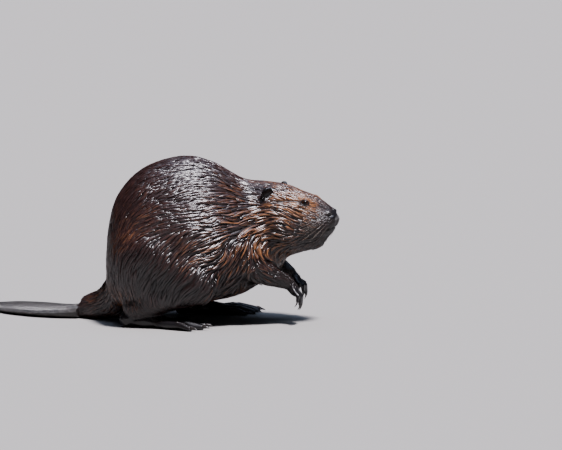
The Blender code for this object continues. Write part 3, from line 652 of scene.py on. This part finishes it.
def skin_materials(colours):
    """Felted under-fur, damp bare skin and the tail's leather."""
    # Felted wet under-fur: almost black, matt between the locks. Its warmer tone follows the lie's
    # warmth, so it also carries the painted shade of the low flank, thigh and belly.
    felt, tree, shader = new_material("felted_wet_under_fur", Roughness=0.55, IOR=1.5)
    zone = add_node(tree, "ShaderNodeAttribute", attribute_name="warmth")
    warm = add_node(tree, "ShaderNodeMix", {0: zone.outputs["Fac"], 6: colours.under_fur,
                                            7: colours.fur_chestnut}, data_type="RGBA")
    grain_over(tree, shader, 3 * MM, 4, (colours.under_fur, warm.outputs[2]), 0.6, 0.6 * MM)

    # Damp hide: nearly black, pebbled in 1 mm grains, with a wet film over it.
    hide, tree, shader = new_material("damp_pebbled_hide", Roughness=0.30, IOR=1.38,
                                      Coat_Weight=0.1, Coat_Roughness=0.10, Coat_IOR=1.33)
    grain_over(tree, shader, 14 * MM, 5, (colours.bare_skin, srgb("#141214")))
    place = add_node(tree, "ShaderNodeTexCoord")
    pebble = add_node(tree, "ShaderNodeTexVoronoi", {"Vector": place.outputs["Object"],
                                                     "Scale": 1 / (1.0 * MM)})
    relief = add_node(tree, "ShaderNodeBump", {"Height": pebble.outputs["Distance"],
                                               "Strength": 0.4, "Distance": 0.22 * MM})
    tree.links.new(relief.outputs[0], shader.inputs["Normal"])

    # Tail leather: dark grey-brown between the scales, mottled and creased.
    leather, tree, shader = new_material("creased_tail_leather", Roughness=0.5, IOR=1.45)
    grain_over(tree, shader, 5 * MM, 6, (colours.bare_skin, colours.tail_skin), 0.5, 0.4 * MM)
    return felt, hide, leather


class BEAVER_OT_skin(Operator):
    """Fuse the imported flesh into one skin, with eyelids, nostrils and mouth"""

    bl_idname = "beaver.skin"
    bl_label = "Skin"

    def execute(self, context):
        mesh = skin_mesh(context.scene.beaver_sizes)
        materials = skin_materials(context.scene.beaver_colours)
        skin = object_from("skin", mesh, materials, FLESH)
        centres = values_of(mesh.polygons, "center")
        owner = nearest_nodes(centres, FLESH)
        index = np.zeros(len(owner), int)
        index[np.isin(owner, [FLESH.index(n) for n in BARE]) | (nose_share(centres) < 1)] = HIDE
        index[owner == FLESH.index("tail")] = LEATHER
        index[over_slits(centres, LID_RIM)] = HIDE
        mesh.polygons.foreach_set("material_index", index)
        write_attribute(mesh, "owner", "INT", owner, "FACE")
        _, traits = lie_at(coordinates(mesh))
        write_attribute(mesh, "warmth", "FLOAT", traits[:, 2])
        mesh.shade_smooth()
        return {"FINISHED"}


# ---------------------------------------------------------------- eyes and claws
CORNEA = 0.35 * MM  # how far the cornea bulges from the ball


class BEAVER_OT_eyes(Operator):
    """Model both eyeballs, with a dark iris and a bulging cornea"""

    bl_idname = "beaver.eyes"
    bl_label = "Eyes"

    def execute(self, context):
        # Wet eye: nearly black, brown in the iris, under a clear mirror-smooth cornea.
        material, tree, shader = new_material("wet_eye", Roughness=0.04, IOR=1.34)
        gaze_fade = add_node(tree, "ShaderNodeAttribute", attribute_name="gaze")
        ring = add_node(tree, "ShaderNodeMapRange", {"Value": gaze_fade.outputs["Fac"],
                                                     "From Min": 0.30, "From Max": 0.42})
        tone = add_node(tree, "ShaderNodeMix", {0: ring.outputs[0], 6: srgb("#050303"),
                                                7: context.scene.beaver_colours.iris},
                        data_type="RGBA")
        tree.links.new(tone.outputs[2], shader.inputs["Base Color"])
        for side, place in EYES.items():
            gaze = eye_axes(side)[0]
            ball = bmesh.new()
            bmesh.ops.create_uvsphere(ball, u_segments=48, v_segments=32, radius=EYE_RADIUS - 0.3 * MM,
                                      matrix=gaze.to_track_quat("Z", "Y").to_matrix().to_4x4())
            away = [math.acos(max(-1, min(1, v.co.normalized().dot(gaze)))) / math.pi * 2
                    for v in ball.verts]
            for vertex, angle in zip(ball.verts, away):
                vertex.co += gaze * CORNEA * max(0.0, 1 - angle / 0.5) ** 1.5
            bmesh.ops.translate(ball, verts=ball.verts, vec=place)
            mesh = mesh_from(ball, f"eyeball_{side}")
            write_attribute(mesh, "gaze", "FLOAT", away)
            mesh.shade_smooth()
            object_from(f"eyeball_{side}", mesh, [material], [f"eye_{side}"])
        return {"FINISHED"}


class BEAVER_OT_claws(Operator):
    """Round each paw's claws and give them horn"""

    bl_idname = "beaver.claws"
    bl_label = "Claws"

    def execute(self, context):
        # Claw horn: dark brown keratin, clouded in two tones, polished by digging.
        material, tree, shader = new_material("polished_claw_horn", Roughness=0.34, IOR=1.45,
                                              Coat_Weight=0.1, Coat_Roughness=0.12)
        tones = (srgb("#120d0a"), context.scene.beaver_colours.horn)
        grain_over(tree, shader, 2 * MM, 3, tones)
        for paw in ("hand", "foot"):
            for side in SIDES:
                nodes = [f"claw_{paw}_{side}_{n}" for n in range(1, 6)]
                claws = bmesh.new()
                for node in nodes:
                    claws.from_mesh(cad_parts[node].data)
                bmesh.ops.remove_doubles(claws, verts=claws.verts, dist=0.01 * MM)
                mesh = mesh_from(claws, f"claws_{paw}_{side}")
                mesh.shade_smooth()
                piece = object_from(f"claws_{paw}_{side}", mesh, [material], nodes)
                rounding = piece.modifiers.new("Rounding", "SUBSURF")
                rounding.levels = 2
                rounding.render_levels = 2
        return {"FINISHED"}


# ---------------------------------------------------------------- coat
# A tuft's width and its height over the skin, from root to tip.
ALONG = (0.0, 0.25, 0.5, 0.75, 1.0)
WIDTH_ALONG = (0.50, 0.90, 1.0, 0.72, 0.0)
HEIGHT_ALONG = (-0.15, 0.70, 1.0, 0.95, 0.60)
FINE_PARTS = ("head", "ear", "hand", "foot", "nose", "lower_jaw")  # short hair, plainer tufts
FINE_STEPS, LONG_STEPS = 3, 4  # rings of a tuft before its tip
FINE_LOCK, LONG_LOCK = (4, 7), (4, 6)  # tufts in a lock: in smooth hair, and more in ragged
LOCK_BACK, LOCK_EDGE = 1.7 * MM, 2.0 * MM  # half widths of a lock's high back, and to its edge
# Shares of the coat's depth that lift a tuft: always, by its lock's level, by chance, on the back.
LIFT, LIFT_LEVEL, LIFT_CHANCE, LIFT_BACK = 0.24, 0.46, 0.08, 0.32
# Each of these is a value in smooth hair, and what ragged hair adds to it: how far the tips of a lock
# are drawn together, how far its edges roll down (radians), how far the hair sways off its lie, and
# how much the colour differs from tuft to tuft, the painted shade of the lower locks included.
GRIP, ROLL, SWAY, SPECKLE = (0.30, 0.62), (0.35, 0.50), (0.04, 0.20), (0.3, 1)
SWAY_SIZE = 30 * MM
LEADERS_TRIED, COUNT_ASIDE, COUNT_ALONG = 9, 2.6, 0.6  # a tuft joins a lock ahead or behind, not aside
EYE_CLEAR = 1.08  # how far out, in slits, the hair leaves the eyes free
RIDGE = 0.26  # how far a tuft's ridge stands over its edges, in widths
OFF_FLOOR = 0.1 * MM
BAKE_PATCH = 0.0015  # half size of a tuft on the bake's map
SHOULDER_FROM, FLANK_FROM = 0.66, 0.33  # where pieces of the trunk's coat begin, in its lengths


def by_raggedness(pair, ragged):
    """A value in smooth hair, plus what the hair's raggedness adds to it."""
    return pair[0] + pair[1] * ragged


def coat_piece_of(owner, points):
    """The name of the coat piece that each root belongs to."""
    side = np.where(points[:, 1] < MID_Y, "right", "left")
    head_side = np.where(in_head(points)[:, 1] < 0, "right", "left")
    forward = (points[:, 0] - TRUNK_LOW.x) / (TRUNK_HIGH.x - TRUNK_LOW.x)
    behind = np.where(forward > FLANK_FROM, "flank", "rump")
    part = np.where(forward > SHOULDER_FROM, "shoulder", behind)
    names = np.empty(len(points), object)
    for index, node in enumerate(FLESH):
        here = owner == index
        if node in ("head", "lower_jaw", "nose") or node.startswith("ear"):
            names[here] = [f"coat_head_{s}" for s in head_side[here]]
        elif node == "trunk":
            names[here] = [f"coat_{p}_{s}" for p, s in zip(part[here], side[here])]
        elif node == "neck":
            names[here] = [f"coat_neck_{s}" for s in side[here]]
        elif node in ("tail", "tail_root"):
            names[here] = "coat_tail_root"
        else:
            names[here] = f"coat_{node}"
    return names


def unwrap(points, name):
    """Where the roots of one coat piece lie on an unrolling of the skin round its long way."""
    along = np.array(HEAD_FRONT) if "head" in name else np.array((1.0, 0.0, 0.0))
    across = np.cross((0.0, 0.0, 1.0), along)
    offset = points - points.mean(0)
    if not any(limb in name for limb in ("leg", "hand", "foot", "tail")):
        axis_y = HEAD_MIDDLE.y if "head" in name else MID_Y
        offset[:, 1] = points[:, 1] - axis_y
    angle = np.arctan2(offset @ across, offset[:, 2])
    flat = np.stack([offset @ along, angle], axis=1)
    flat -= flat.min(0)
    return 0.004 + 0.992 * flat / flat.max(0)


def seeds_on(mesh, soft, owner, weight, count, random):
    """Roots spread over the skin by each face's weight, with its soft normal and owner there."""
    total = np.cumsum(weight)
    picks = (np.arange(count) + random.random(count)) / count * total[-1]
    face = np.searchsorted(total, picks)
    triangle = coordinates(mesh)[corners_of(mesh)[face]]
    a, b = random.random(count), random.random(count)
    flip = a + b > 1
    a[flip], b[flip] = 1 - a[flip], 1 - b[flip]
    roots = triangle[:, 0] * (1 - a - b)[:, None] + triangle[:, 1] * a[:, None]
    return roots + triangle[:, 2] * b[:, None], soft[face], owner[face]


def coat_weight(mesh, owner):
    """How many tufts each face carries: more where the hair is short, none on bare skin."""
    centre, normal = (values_of(mesh.polygons, name) for name in ("center", "normal"))
    _, traits = lie_at(centre)
    area = values_of(mesh.polygons, "area", 1)[:, 0]
    weight = area * (26 * MM / (traits[:, 0] + 2 * MM)) ** 0.9
    weight *= 1 - 0.35 * smoothstep(0.70, 1.0, traits[:, 1])  # ragged locks part to the under-fur
    paws = named(owner, "hand", "foot")
    bare = (nose_share(centre) < 1) | (owner == FLESH.index("tail"))
    bare |= paws & ((normal[:, 2] < 0.15) | (traits[:, 0] < 3.6 * MM))
    weight[bare | over_slits(centre, LID_RIM)] = 0
    weight[paws] *= 0.35  # thin on the paws
    ears = named(owner, "ear")
    weight[ears & (normal @ np.array(HEAD_FRONT) > -0.1)] = 0  # their hollows are bare
    weight[named(owner, "trunk") & (normal[:, 2] < -0.7)] *= 0.6  # thinner under the belly
    return weight


def waver(points, random, size):
    """A smooth swirl of small turns, about size across."""
    turn = np.zeros((len(points), 3))
    for _ in range(6):
        direction = random.normal(size=3)
        direction *= 2 * math.pi / (size * random.uniform(0.6, 1.6)) / np.linalg.norm(direction)
        turn += np.outer(np.sin(points @ direction + random.uniform(0, 6.3)), random.normal(size=3))
    return turn / math.sqrt(6)


def march(tree, soft, roots, normals, lengths, ragged, steps):
    """Paths over the skin along the lie of the coat, with the faces' soft normals on the way."""
    path, upright = [roots], [normals]
    for _ in range(steps):
        ways, _ = lie_at(path[-1])
        bend = waver(path[-1], np.random.default_rng(SEED + 1), SWAY_SIZE)
        ways = ways + bend * by_raggedness(SWAY, ragged)[:, None]
        ways = ways - upright[-1] * (ways * upright[-1]).sum(1)[:, None]
        ways /= np.linalg.norm(ways, axis=1)[:, None] + 1e-9
        ahead = path[-1] + ways * (lengths / steps)[:, None]
        hits = [tree.find_nearest(p) for p in ahead.tolist()]
        path.append(np.array([h[0] for h in hits]))
        blended = 0.5 * upright[-1] + 0.5 * soft[[h[2] for h in hits]]
        upright.append(blended / np.linalg.norm(blended, axis=1)[:, None])
    return np.stack(path, 1), np.stack(upright, 1)


def locks_of(path, upright, members, random):
    """Which tuft leads each tuft's lock, and how far aside of it (to its left) the tuft is rooted."""
    leaders = np.nonzero(random.random(len(path)) < 1 / members)[0]
    finder = KDTree(len(leaders))
    for slot, index in enumerate(leaders):
        finder.insert(path[index, 0], slot)
    finder.balance()
    tried = [finder.find_n(p, LEADERS_TRIED) for p in path[:, 0].tolist()]
    near = np.array([[found[1] for found in row] for row in tried])
    offset = path[:, 0][:, None] - path[leaders[near], 0]
    way = path[:, 1] - path[:, 0]
    way /= np.linalg.norm(way, axis=1)[:, None] + 1e-9
    along = (offset * way[:, None]).sum(2)
    aside = (offset * np.cross(upright[:, 0], way)[:, None]).sum(2)
    best = np.argmin((aside * COUNT_ASIDE) ** 2 + (along * COUNT_ALONG) ** 2, axis=1)
    rows = np.arange(len(path))
    return leaders[near[rows, best]], aside[rows, best]


def draw_together(path, leader, grip, steps):
    """Bends the tufts of each lock towards its leader, so that their tips meet."""
    drawn = path.copy()
    for step in range(1, steps + 1):
        pull = grip * (step / steps) ** 1.2
        drawn[:, step] += (path[leader, step] - path[:, step]) * pull[:, None]
    return drawn


def tuft_faces(count, steps):
    """Loops and loop starts of count tufts: three-sided, closed at the root, pointed at the tip."""
    pattern, totals = [], []
    for low in range(0, 3 * steps - 3, 3):
        for p, q in ((0, 1), (1, 2), (2, 0)):
            pattern += [low + p, low + q, low + 3 + q, low + 3 + p]
            totals.append(4)
    tip = 3 * steps
    for p, q in ((0, 1), (1, 2), (2, 0)):
        pattern += [tip - 3 + p, tip - 3 + q, tip]
        totals.append(3)
    pattern += [0, 2, 1]
    totals.append(3)
    loops = (np.arange(count)[:, None] * (tip + 1) + np.array(pattern)[None]).ravel()
    starts = np.concatenate([[0], np.cumsum(np.tile(totals, count))[:-1]])
    return loops, starts


def tuft_mesh(name, steps, path, upright, widths, heights, roll, shade, warmth):
    """One mesh of closed tufts, with their colours' attributes and the bake's map."""
    count = len(path)
    at = np.arange(steps + 1) / steps
    way = np.gradient(path, axis=1)
    way /= np.linalg.norm(way, axis=2)[..., None] + 1e-9
    side = np.cross(upright, way)
    side /= np.linalg.norm(side, axis=2)[..., None] + 1e-9
    lifted = path + upright * heights[..., None]
    cos, sin = np.cos(roll)[:, None, None], np.sin(roll)[:, None, None]
    side, upright = side * cos - upright * sin, upright * cos + side * sin
    ring_width = np.interp(at[:-1], ALONG, WIDTH_ALONG)[None] * widths[:, None]
    across = side[:, :-1] * (ring_width / 2)[..., None]
    ridge = upright[:, :-1] * (ring_width * RIDGE)[..., None]
    rings = np.stack([lifted[:, :-1] + across, lifted[:, :-1] + ridge, lifted[:, :-1] - across], 2)
    points = np.concatenate([rings.reshape(count, -1, 3), lifted[:, -1:]], 1)
    points[..., 2] = np.maximum(points[..., 2], OFF_FLOOR)
    each = points.shape[1]
    along = np.append(np.repeat(at[:-1], 3), 1.0)
    sideways = np.append(np.tile([-1.0, 0.0, 1.0], steps), 0.0)
    loops, starts = tuft_faces(count, steps)
    mesh = bpy.data.meshes.new(name)
    mesh.vertices.add(count * each)
    mesh.vertices.foreach_set("co", points.astype(np.float32).ravel())
    mesh.loops.add(len(loops))
    mesh.loops.foreach_set("vertex_index", loops.astype(np.int32))
    mesh.polygons.add(len(starts))
    mesh.polygons.foreach_set("loop_start", starts.astype(np.int32))
    mesh.update(calc_edges=True)
    tuft = np.stack([np.tile(along, count), np.repeat(shade, each), np.repeat(warmth, each)], 1)
    write_attribute(mesh, "tuft", "FLOAT_VECTOR", tuft)
    patch = np.stack([sideways, along * 2 - 1], 1) * BAKE_PATCH
    spread = (unwrap(path[:, 0], name)[:, None] + patch[None]).reshape(-1, 2)[loops]
    mesh.uv_layers.new(name="OFBake").data.foreach_set("uv", spread.astype(np.float32).ravel())
    mesh.shade_smooth()
    mesh.set_sharp_from_angle(angle=math.radians(80))
    return mesh


def grow(tree, soft, roots, normals, owner, steps, members, sizes, material, random):
    """Grows tufts from these roots, and makes one piece for each part of the coat."""
    _, traits = lie_at(roots)
    hair, ragged, warmth = traits.T
    count = len(roots)
    lengths = hair * random.uniform(0.7, 1.2, count)
    path, upright = march(tree, soft, roots, normals, lengths, ragged, steps)
    clear = ~over_slits(path.reshape(-1, 3), EYE_CLEAR).reshape(count, -1).any(1)
    path, upright, owner, roots, hair, ragged, warmth = (
        values[clear] for values in (path, upright, owner, roots, hair, ragged, warmth))
    count = len(path)
    leader, aside = locks_of(path, upright, by_raggedness(members, ragged), random)
    path = draw_together(path, leader, by_raggedness(GRIP, ragged), steps)
    thick = smoothstep(2 * MM, 24 * MM, hair)
    widths = sizes.face_width + (sizes.tuft_width - sizes.face_width) * thick
    widths = widths * random.uniform(0.65, 1.3, count)
    level = smoothstep(0.15, 0.75, random.random(count))[leader]  # whole locks lie over others
    dome = np.exp(-(aside / LOCK_BACK) ** 2)
    roll = np.clip(aside / LOCK_EDGE, -1, 1) * by_raggedness(ROLL, ragged)
    lift = LIFT + LIFT_LEVEL * level + LIFT_CHANCE * random.random(count) + LIFT_BACK * dome
    top = DEPTH_OF_LENGTH * hair * lift
    at = np.arange(steps + 1) / steps
    heights = top[:, None] * np.interp(at, ALONG, HEIGHT_ALONG)[None] + 0.15 * MM
    stand = 0.05 * ragged + 0.8 * np.maximum(ragged - 0.78, 0)  # tips of the most ragged stand off
    heights += (stand * hair * level)[:, None] * at[None] ** 2
    # Lower locks get a darker tone: painted shade from the locks that lie over them; the random part is
    # each tuft's own tone.
    shade = 0.40 * level + 0.60 * random.random(count)
    shade = 0.5 + (shade - 0.5) * by_raggedness(SPECKLE, ragged)
    names = coat_piece_of(owner, roots)
    for name in sorted(set(names)):
        here = names == name
        mesh = tuft_mesh(name, steps, path[here], upright[here], widths[here], heights[here],
                         roll[here], shade[here], warmth[here])
        object_from(name, mesh, [material])


def coat_material(colours):
    """Wet guard hair: dark brown to chestnut, glossy with water, orange where the hair is warm; darker
    at the roots and in the lower locks, partly as painted shade.
    """
    material, tree, shader = new_material("wet_guard_hair", Roughness=0.30, IOR=1.50,
                                          Coat_Weight=0.1, Coat_Roughness=0.12, Coat_IOR=1.33)
    tuft = add_node(tree, "ShaderNodeAttribute", attribute_name="tuft")
    parts = add_node(tree, "ShaderNodeSeparateXYZ", {"Vector": tuft.outputs["Vector"]})
    along, shade, warmth = parts.outputs
    # The tuft's shade value holds painted shade: lower locks are made darker, as if shaded by the locks
    # over them.
    own = add_node(tree, "ShaderNodeMath", {0: shade, 1: 0.9, 2: -0.45}, operation="MULTIPLY_ADD")
    heat = add_node(tree, "ShaderNodeMath", {0: warmth, 1: own.outputs[0]}, operation="ADD")
    low = add_node(tree, "ShaderNodeMapRange", {"Value": heat.outputs[0], "From Min": 0.0,
                                                "From Max": 0.6})
    high = add_node(tree, "ShaderNodeMapRange", {"Value": heat.outputs[0], "From Min": 0.5,
                                                 "From Max": 1.1})
    brown = add_node(tree, "ShaderNodeMix", {0: low.outputs[0], 6: colours.fur_dark,
                                             7: colours.fur_chestnut}, data_type="RGBA")
    warm = add_node(tree, "ShaderNodeMix", {0: high.outputs[0], 6: brown.outputs[2],
                                            7: colours.fur_orange}, data_type="RGBA")
    # Darker towards the root, into the under-fur tone: partly the hair's own darker base, partly
    # painted shade in the gaps between the locks.
    root = add_node(tree, "ShaderNodeMapRange", {"Value": along, "From Min": 0.0, "From Max": 0.7,
                                                 "To Min": 0.15, "To Max": 1.0})
    tone = add_node(tree, "ShaderNodeMix", {0: root.outputs[0], 6: colours.under_fur,
                                            7: warm.outputs[2]}, data_type="RGBA")
    tree.links.new(tone.outputs[2], shader.inputs["Base Color"])
    return material


class BEAVER_OT_coat(Operator):
    """Grow the wet coat: tufts that follow its lie, drawn together into locks"""

    bl_idname = "beaver.coat"
    bl_label = "Coat"

    def execute(self, context):
        sizes = context.scene.beaver_sizes
        skin, owner, tree = skin_tree()
        material = coat_material(context.scene.beaver_colours)
        random = np.random.default_rng(SEED)
        soft = normals_of(skin)[corners_of(skin)].sum(1)
        soft /= np.linalg.norm(soft, axis=1)[:, None]
        weight = coat_weight(skin, owner)
        fine = named(owner, *FINE_PARTS)
        for part, steps, count, members in (
            (fine, FINE_STEPS, sizes.fine_tufts, FINE_LOCK),
            (~fine, LONG_STEPS, sizes.long_tufts, LONG_LOCK),
        ):
            seeds = seeds_on(skin, soft, owner, weight * part, count, random)
            grow(tree, soft, *seeds, steps, members, sizes, material, random)
        return {"FINISHED"}


class BEAVER_OT_whiskers(Operator):
    """Set rows of whiskers in both sides of the muzzle"""

    bl_idname = "beaver.whiskers"
    bl_label = "Whiskers"

    def execute(self, context):
        # Whisker: stiff pale hair, wet.
        material, tree, shader = new_material("wet_whisker", Roughness=0.3, IOR=1.55)
        tuft = add_node(tree, "ShaderNodeAttribute", attribute_name="tuft")
        parts = add_node(tree, "ShaderNodeSeparateXYZ", {"Vector": tuft.outputs["Vector"]})
        tone = add_node(tree, "ShaderNodeMix",
                        {0: parts.outputs[0], 6: context.scene.beaver_colours.fur_chestnut,
                         7: context.scene.beaver_colours.whisker}, data_type="RGBA")
        tree.links.new(tone.outputs[2], shader.inputs["Base Color"])
        sizes = context.scene.beaver_sizes
        surface = skin_tree()[2]
        random = np.random.default_rng(SEED + 2)
        steps, paths = 8, []
        for out in SIDES.values():
            for row in range(4):
                for column in range(4):
                    forward = 0.74 - 0.10 * column + 0.03 * row
                    start = head_point(forward, 1.4 * out, -0.52 - 0.085 * row)
                    root = surface.ray_cast(start, HEAD_LEFT * -out)[0]
                    way = HEAD_LEFT * out - HEAD_FRONT * (0.5 + 0.35 * column) - UP * (0.2 + 0.25 * row)
                    way = way.normalized() * sizes.whisker_length * random.uniform(0.45, 1.0)
                    droop = (-HEAD_FRONT * 0.5 - UP * 0.5) * way.length * 0.45
                    paths.append([root + way * t + droop * t * t
                                  for t in np.linspace(-0.02, 1, steps + 1).tolist()])
        path = np.array(paths)
        count = len(path)
        widths = np.full(count, sizes.whisker_width)
        mesh = tuft_mesh("head_whiskers", steps, path, np.tile(np.array(UP), (count, steps + 1, 1)),
                         widths, np.zeros((count, steps + 1)), np.zeros(count), np.full(count, 0.5),
                         np.zeros(count))
        object_from("head_whiskers", mesh, [material])
        return {"FINISHED"}


# ---------------------------------------------------------------- tail
# Outline of one scale, in its length and width; six of them close up round each.
HEXAGON = ((0.50, 0.0), (0.25, 0.50), (-0.25, 0.50), (-0.50, 0.0), (-0.25, -0.50), (0.25, -0.50))


def scale_places(sizes):
    """Middles of the scales in staggered rows, with the way back down the curved paddle."""
    along = Vector((TAIL_STEP.x, TAIL_STEP.y, 0)).normalized()
    across = UP.cross(along)
    points = node_points("tail")
    back, aside = points @ np.array(along), points @ np.array(across)
    slices = np.linspace(back.min(), back.max(), 12)
    middles = []
    for low, high in zip(slices[:-1], slices[1:]):
        here = aside[(back >= low - 4 * MM) & (back <= high + 4 * MM)]
        middles.append((here.max() + here.min()) / 2)
    bend = np.poly1d(np.polyfit((slices[:-1] + slices[1:]) / 2, middles, 2))
    reach = int(TAIL_STEP.length / sizes.scale_width)
    row, at = 0, back.min()
    while at < back.max():
        way = (along + across * float(bend.deriv()(at))).normalized()
        wide = UP.cross(way)
        centre = along * at + across * float(bend(at))
        for place in range(-reach, reach + 1):
            yield centre + wide * (place + 0.5 * (row % 2)) * sizes.scale_width, way
        at += 0.75 * sizes.scale_length * way.dot(along)
        row += 1


class BEAVER_OT_tail_scales(Operator):
    """Lay rows of low six-sided scales over both faces of the paddle"""

    bl_idname = "beaver.tail_scales"
    bl_label = "Tail scales"

    def execute(self, context):
        # Scale: dark horny skin, each scale a little lighter or darker, damp.
        material, tree, shader = new_material("damp_tail_scale", Roughness=0.40, IOR=1.5,
                                              Coat_Weight=0.3, Coat_Roughness=0.2)
        own = add_node(tree, "ShaderNodeAttribute", attribute_name="shade")
        tone = add_node(tree, "ShaderNodeMix",
                        {0: own.outputs["Fac"], 6: context.scene.beaver_colours.bare_skin,
                         7: context.scene.beaver_colours.tail_skin}, data_type="RGBA")
        tree.links.new(tone.outputs[2], shader.inputs["Base Color"])
        grain_over(tree, shader, 1.2 * MM, 3, strength=0.35, height=0.15 * MM)

        sizes = context.scene.beaver_sizes
        paddle = skin_tree("tail")[2]
        random = np.random.default_rng(SEED + 3)
        points, polygons, shades = [], [], []
        for middle_of, way in scale_places(sizes):
            for face_up in (1, -1):
                hit, normal = paddle.ray_cast(middle_of + UP * 0.1 * face_up, UP * -face_up)[:2]
                if hit is None or normal.z * face_up < 0.45:  # off the paddle, or on its edge
                    continue
                forward = (way - normal * way.dot(normal)).normalized() * sizes.scale_length
                wide = normal.cross(forward).normalized() * sizes.scale_width
                start = len(points)
                # The foot of the scale, sunk in the skin, and its smaller top: size, height in mm.
                for inset, rise in ((1.0, -0.2), (random.uniform(0.66, 0.78), 0.42)):
                    for x, y in HEXAGON:
                        height = (rise + (0.25 * x if rise > 0 else 0)) * MM
                        point = hit + (forward * x + wide * y) * inset + normal * height
                        point.z = max(point.z, 0)
                        points.append(point)
                polygons.append([start + i for i in (5, 4, 3, 2, 1, 0)])
                polygons.append([start + 6 + i for i in range(6)])
                polygons += [[start + i, start + (i + 1) % 6, start + 6 + (i + 1) % 6, start + 6 + i]
                             for i in range(6)]
                shades += [random.random()] * 12
        mesh = bpy.data.meshes.new("tail_scales")
        mesh.from_pydata(points, [], polygons)
        write_attribute(mesh, "shade", "FLOAT", shades)
        object_from("tail_scales", mesh, [material])
        return {"FINISHED"}


# ---------------------------------------------------------------- stage
class BEAVER_OT_stage(Operator):
    """Set the plain floor, the studio lights and the camera"""

    bl_idname = "beaver.stage"
    bl_label = "Stage"

    def execute(self, context):
        # Floor: matt board in one plain grey, which the key light makes pale.
        material, tree, shader = new_material("matt_grey_board", Roughness=0.8)
        shader.inputs["Base Color"].default_value = context.scene.beaver_colours.floor
        plane = bmesh.new()
        bmesh.ops.create_grid(plane, x_segments=1, y_segments=1, size=60,
                              matrix=Matrix.Translation((0, 0, -0.2 * MM)))
        mesh = mesh_from(plane, "floor")
        mesh.materials.append(material)
        floor = bpy.data.objects.new("floor", mesh)
        context.scene.collection.objects.link(floor)

        world = bpy.data.worlds.new("studio")
        world.use_nodes = True
        world.node_tree.nodes["Background"].inputs["Color"].default_value = srgb("#c3d0e6")
        world.node_tree.nodes["Background"].inputs["Strength"].default_value = 0.06
        context.scene.world = world

        low, high = CAD_BOX
        target = (low + high) / 2
        for name, aim_from, power, soft, tint in (
            ("key", (0.22, -0.30, 0.93), 14.5, 9, "#fdf8ff"),
            ("sky", (0.15, 0.05, 0.98), 2.2, 60, "#c4d8ff"),
        ):
            light = bpy.data.lights.new(name, "SUN")
            light.energy = power
            light.angle = math.radians(soft)
            light.color = srgb(tint)[:3]
            lamp = bpy.data.objects.new(name, light)
            lamp.rotation_euler = Vector(aim_from).to_track_quat("Z", "Y").to_euler()
            context.scene.collection.objects.link(lamp)

        span = high - low
        ahead, above = 0.337, 0.579  # where the camera aims, in the model's length and height
        aim = Vector((target.x + ahead * span.x, MID_Y, above * span.z))
        elevation, distance, view_width = math.radians(7), 8.0, 0.9835
        camera = bpy.data.cameras.new("camera")
        camera.sensor_width = 36
        camera.lens = 36 * distance / view_width
        camera.clip_end = 200
        holder = bpy.data.objects.new("camera", camera)
        holder.location = aim + Vector((0, -math.cos(elevation), math.sin(elevation))) * distance
        holder.rotation_euler = (aim - holder.location).to_track_quat("-Z", "Y").to_euler()
        context.scene.collection.objects.link(holder)
        context.scene.camera = holder
        return {"FINISHED"}


class BEAVER_PT_panel(Panel):
    """Lists the steps that dress the beaver"""

    bl_idname = "BEAVER_PT_panel"
    bl_label = "Beaver"
    bl_space_type = "VIEW_3D"
    bl_region_type = "UI"
    bl_category = "Beaver"

    def draw(self, context):
        for group in (context.scene.beaver_sizes, context.scene.beaver_colours):
            for name in group.__annotations__:
                self.layout.prop(group, name)
        for step in STEPS:
            self.layout.operator(step.bl_idname)


STEPS = (BEAVER_OT_skin, BEAVER_OT_eyes, BEAVER_OT_claws, BEAVER_OT_tail_scales, BEAVER_OT_coat,
         BEAVER_OT_whiskers, BEAVER_OT_stage)
CLASSES = (BeaverSizes, BeaverColours, *STEPS, BEAVER_PT_panel)


def register():
    for cls in CLASSES:
        bpy.utils.register_class(cls)
    bpy.types.Scene.beaver_sizes = PointerProperty(type=BeaverSizes)
    bpy.types.Scene.beaver_colours = PointerProperty(type=BeaverColours)


def unregister():
    del bpy.types.Scene.beaver_colours
    del bpy.types.Scene.beaver_sizes
    for cls in reversed(CLASSES):
        bpy.utils.unregister_class(cls)


def main():
    register()
    bpy.ops.beaver.skin()
    bpy.ops.beaver.eyes()
    bpy.ops.beaver.claws()
    bpy.ops.beaver.tail_scales()
    bpy.ops.beaver.coat()
    bpy.ops.beaver.whiskers()
    bpy.ops.beaver.stage()


if __name__ == "__main__":
    main()
